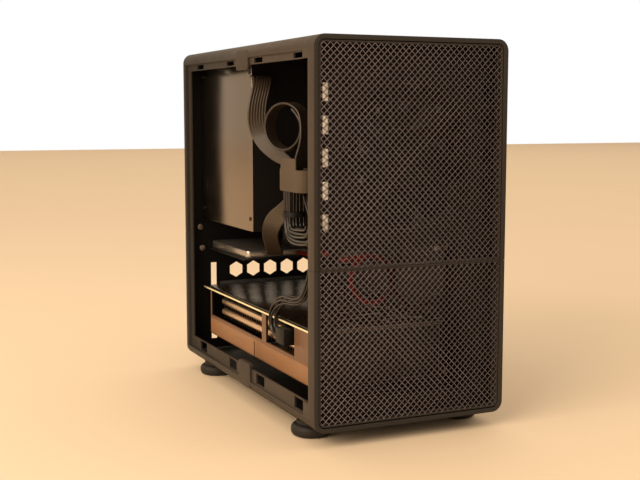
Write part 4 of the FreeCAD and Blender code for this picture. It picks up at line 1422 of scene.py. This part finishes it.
@dataclass
class Studio:
    """Camera, floor, background and lights."""

    camera_place: Point = (-0.4079, -0.8819, 0.2503)
    azimuth: float = -24.42
    elevation: float = 6.53
    lens: float = 61.58
    sensor: float = 36.0
    floor_size: float = 14.0
    floor_colour: Colour = (0.86, 0.68, 0.48)
    backdrop: Colour = (1.0, 1.0, 1.0)
    soft_light: Colour = (0.34, 0.295, 0.24)
    mirrored_light: Colour = (0.74, 0.59, 0.43)
    lamps: tuple[Lamp, ...] = (
        Lamp("left_window", (-1.6, -0.7, 0.9), (0.0, 0.0, 0.15), (1.6, 1.2), 34.0),
        Lamp("top_soft", (0.0, 1.0, 4.0), (0.0, 1.0, 0.0), (16.0, 16.0), 530.0),
    )

    def camera(self) -> None:
        """Stands the camera where the photograph was taken from."""
        data = bpy.data.cameras.new("camera")
        data.lens = self.lens
        data.sensor_width = self.sensor
        data.dof.use_dof = False
        made = linked("camera", data)
        made.location = self.camera_place
        turn, lift = math.radians(self.azimuth), math.radians(self.elevation)
        back = Vector((math.sin(turn) * math.cos(lift), -math.cos(turn) * math.cos(lift), math.sin(lift)))
        point_at(made, -back)
        bpy.context.scene.camera = made

    def floor(self) -> None:
        """Lays a wide pale floor."""
        made = add("floor", bpy.ops.mesh.primitive_plane_add, size=self.floor_size, location=(0.0, 0.0, 0.0))
        finish = Finish("floor_paint", self.floor_colour, roughness=0.7, spread=0.02, patch=2.0, relief=0.02)
        made.data.materials.append(finish.material())

    def world(self) -> None:
        """Shows the backdrop to the camera and lights softly from all round."""
        world = bpy.data.worlds.new("world")
        world.use_nodes = True
        bpy.context.scene.world = world
        graph = Graph(world.node_tree)
        seen = graph.node("ShaderNodeLightPath", output="Is Camera Ray")
        mirrored = graph.node("ShaderNodeLightPath", output="Is Glossy Ray")
        unseen = graph.blend(mirrored, self.soft_light, self.mirrored_light)
        colour = graph.blend(seen, unseen, self.backdrop)
        surface = graph.node("ShaderNodeBackground", {"Color": colour, "Strength": 1.0})
        graph.node("ShaderNodeOutputWorld", {"Surface": surface})

    def build(self) -> None:
        """Sets up everything that isn't part of the object."""
        bpy.context.scene.view_settings.view_transform = "Standard"
        self.camera()
        self.floor()
        self.world()
        for lamp in self.lamps:
            lamp.hang()
        log.info("Studio: camera, floor, world and lamps")


def main() -> None:
    """Builds the scene in order."""
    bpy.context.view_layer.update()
    wardrobe = Wardrobe(FINISHES)
    Studio().build()
    CarriedNodes(wardrobe).build()
    Cables(wardrobe).build()
    SoftEdges(wardrobe).build()
    RearScrews(wardrobe).build()
    FrontMesh(wardrobe).build()
    FrontMesh(wardrobe, node="lower_front_mesh", body=Body.LOWER_MESH, round_top=False).build()


if __name__ == "__main__":
    main()
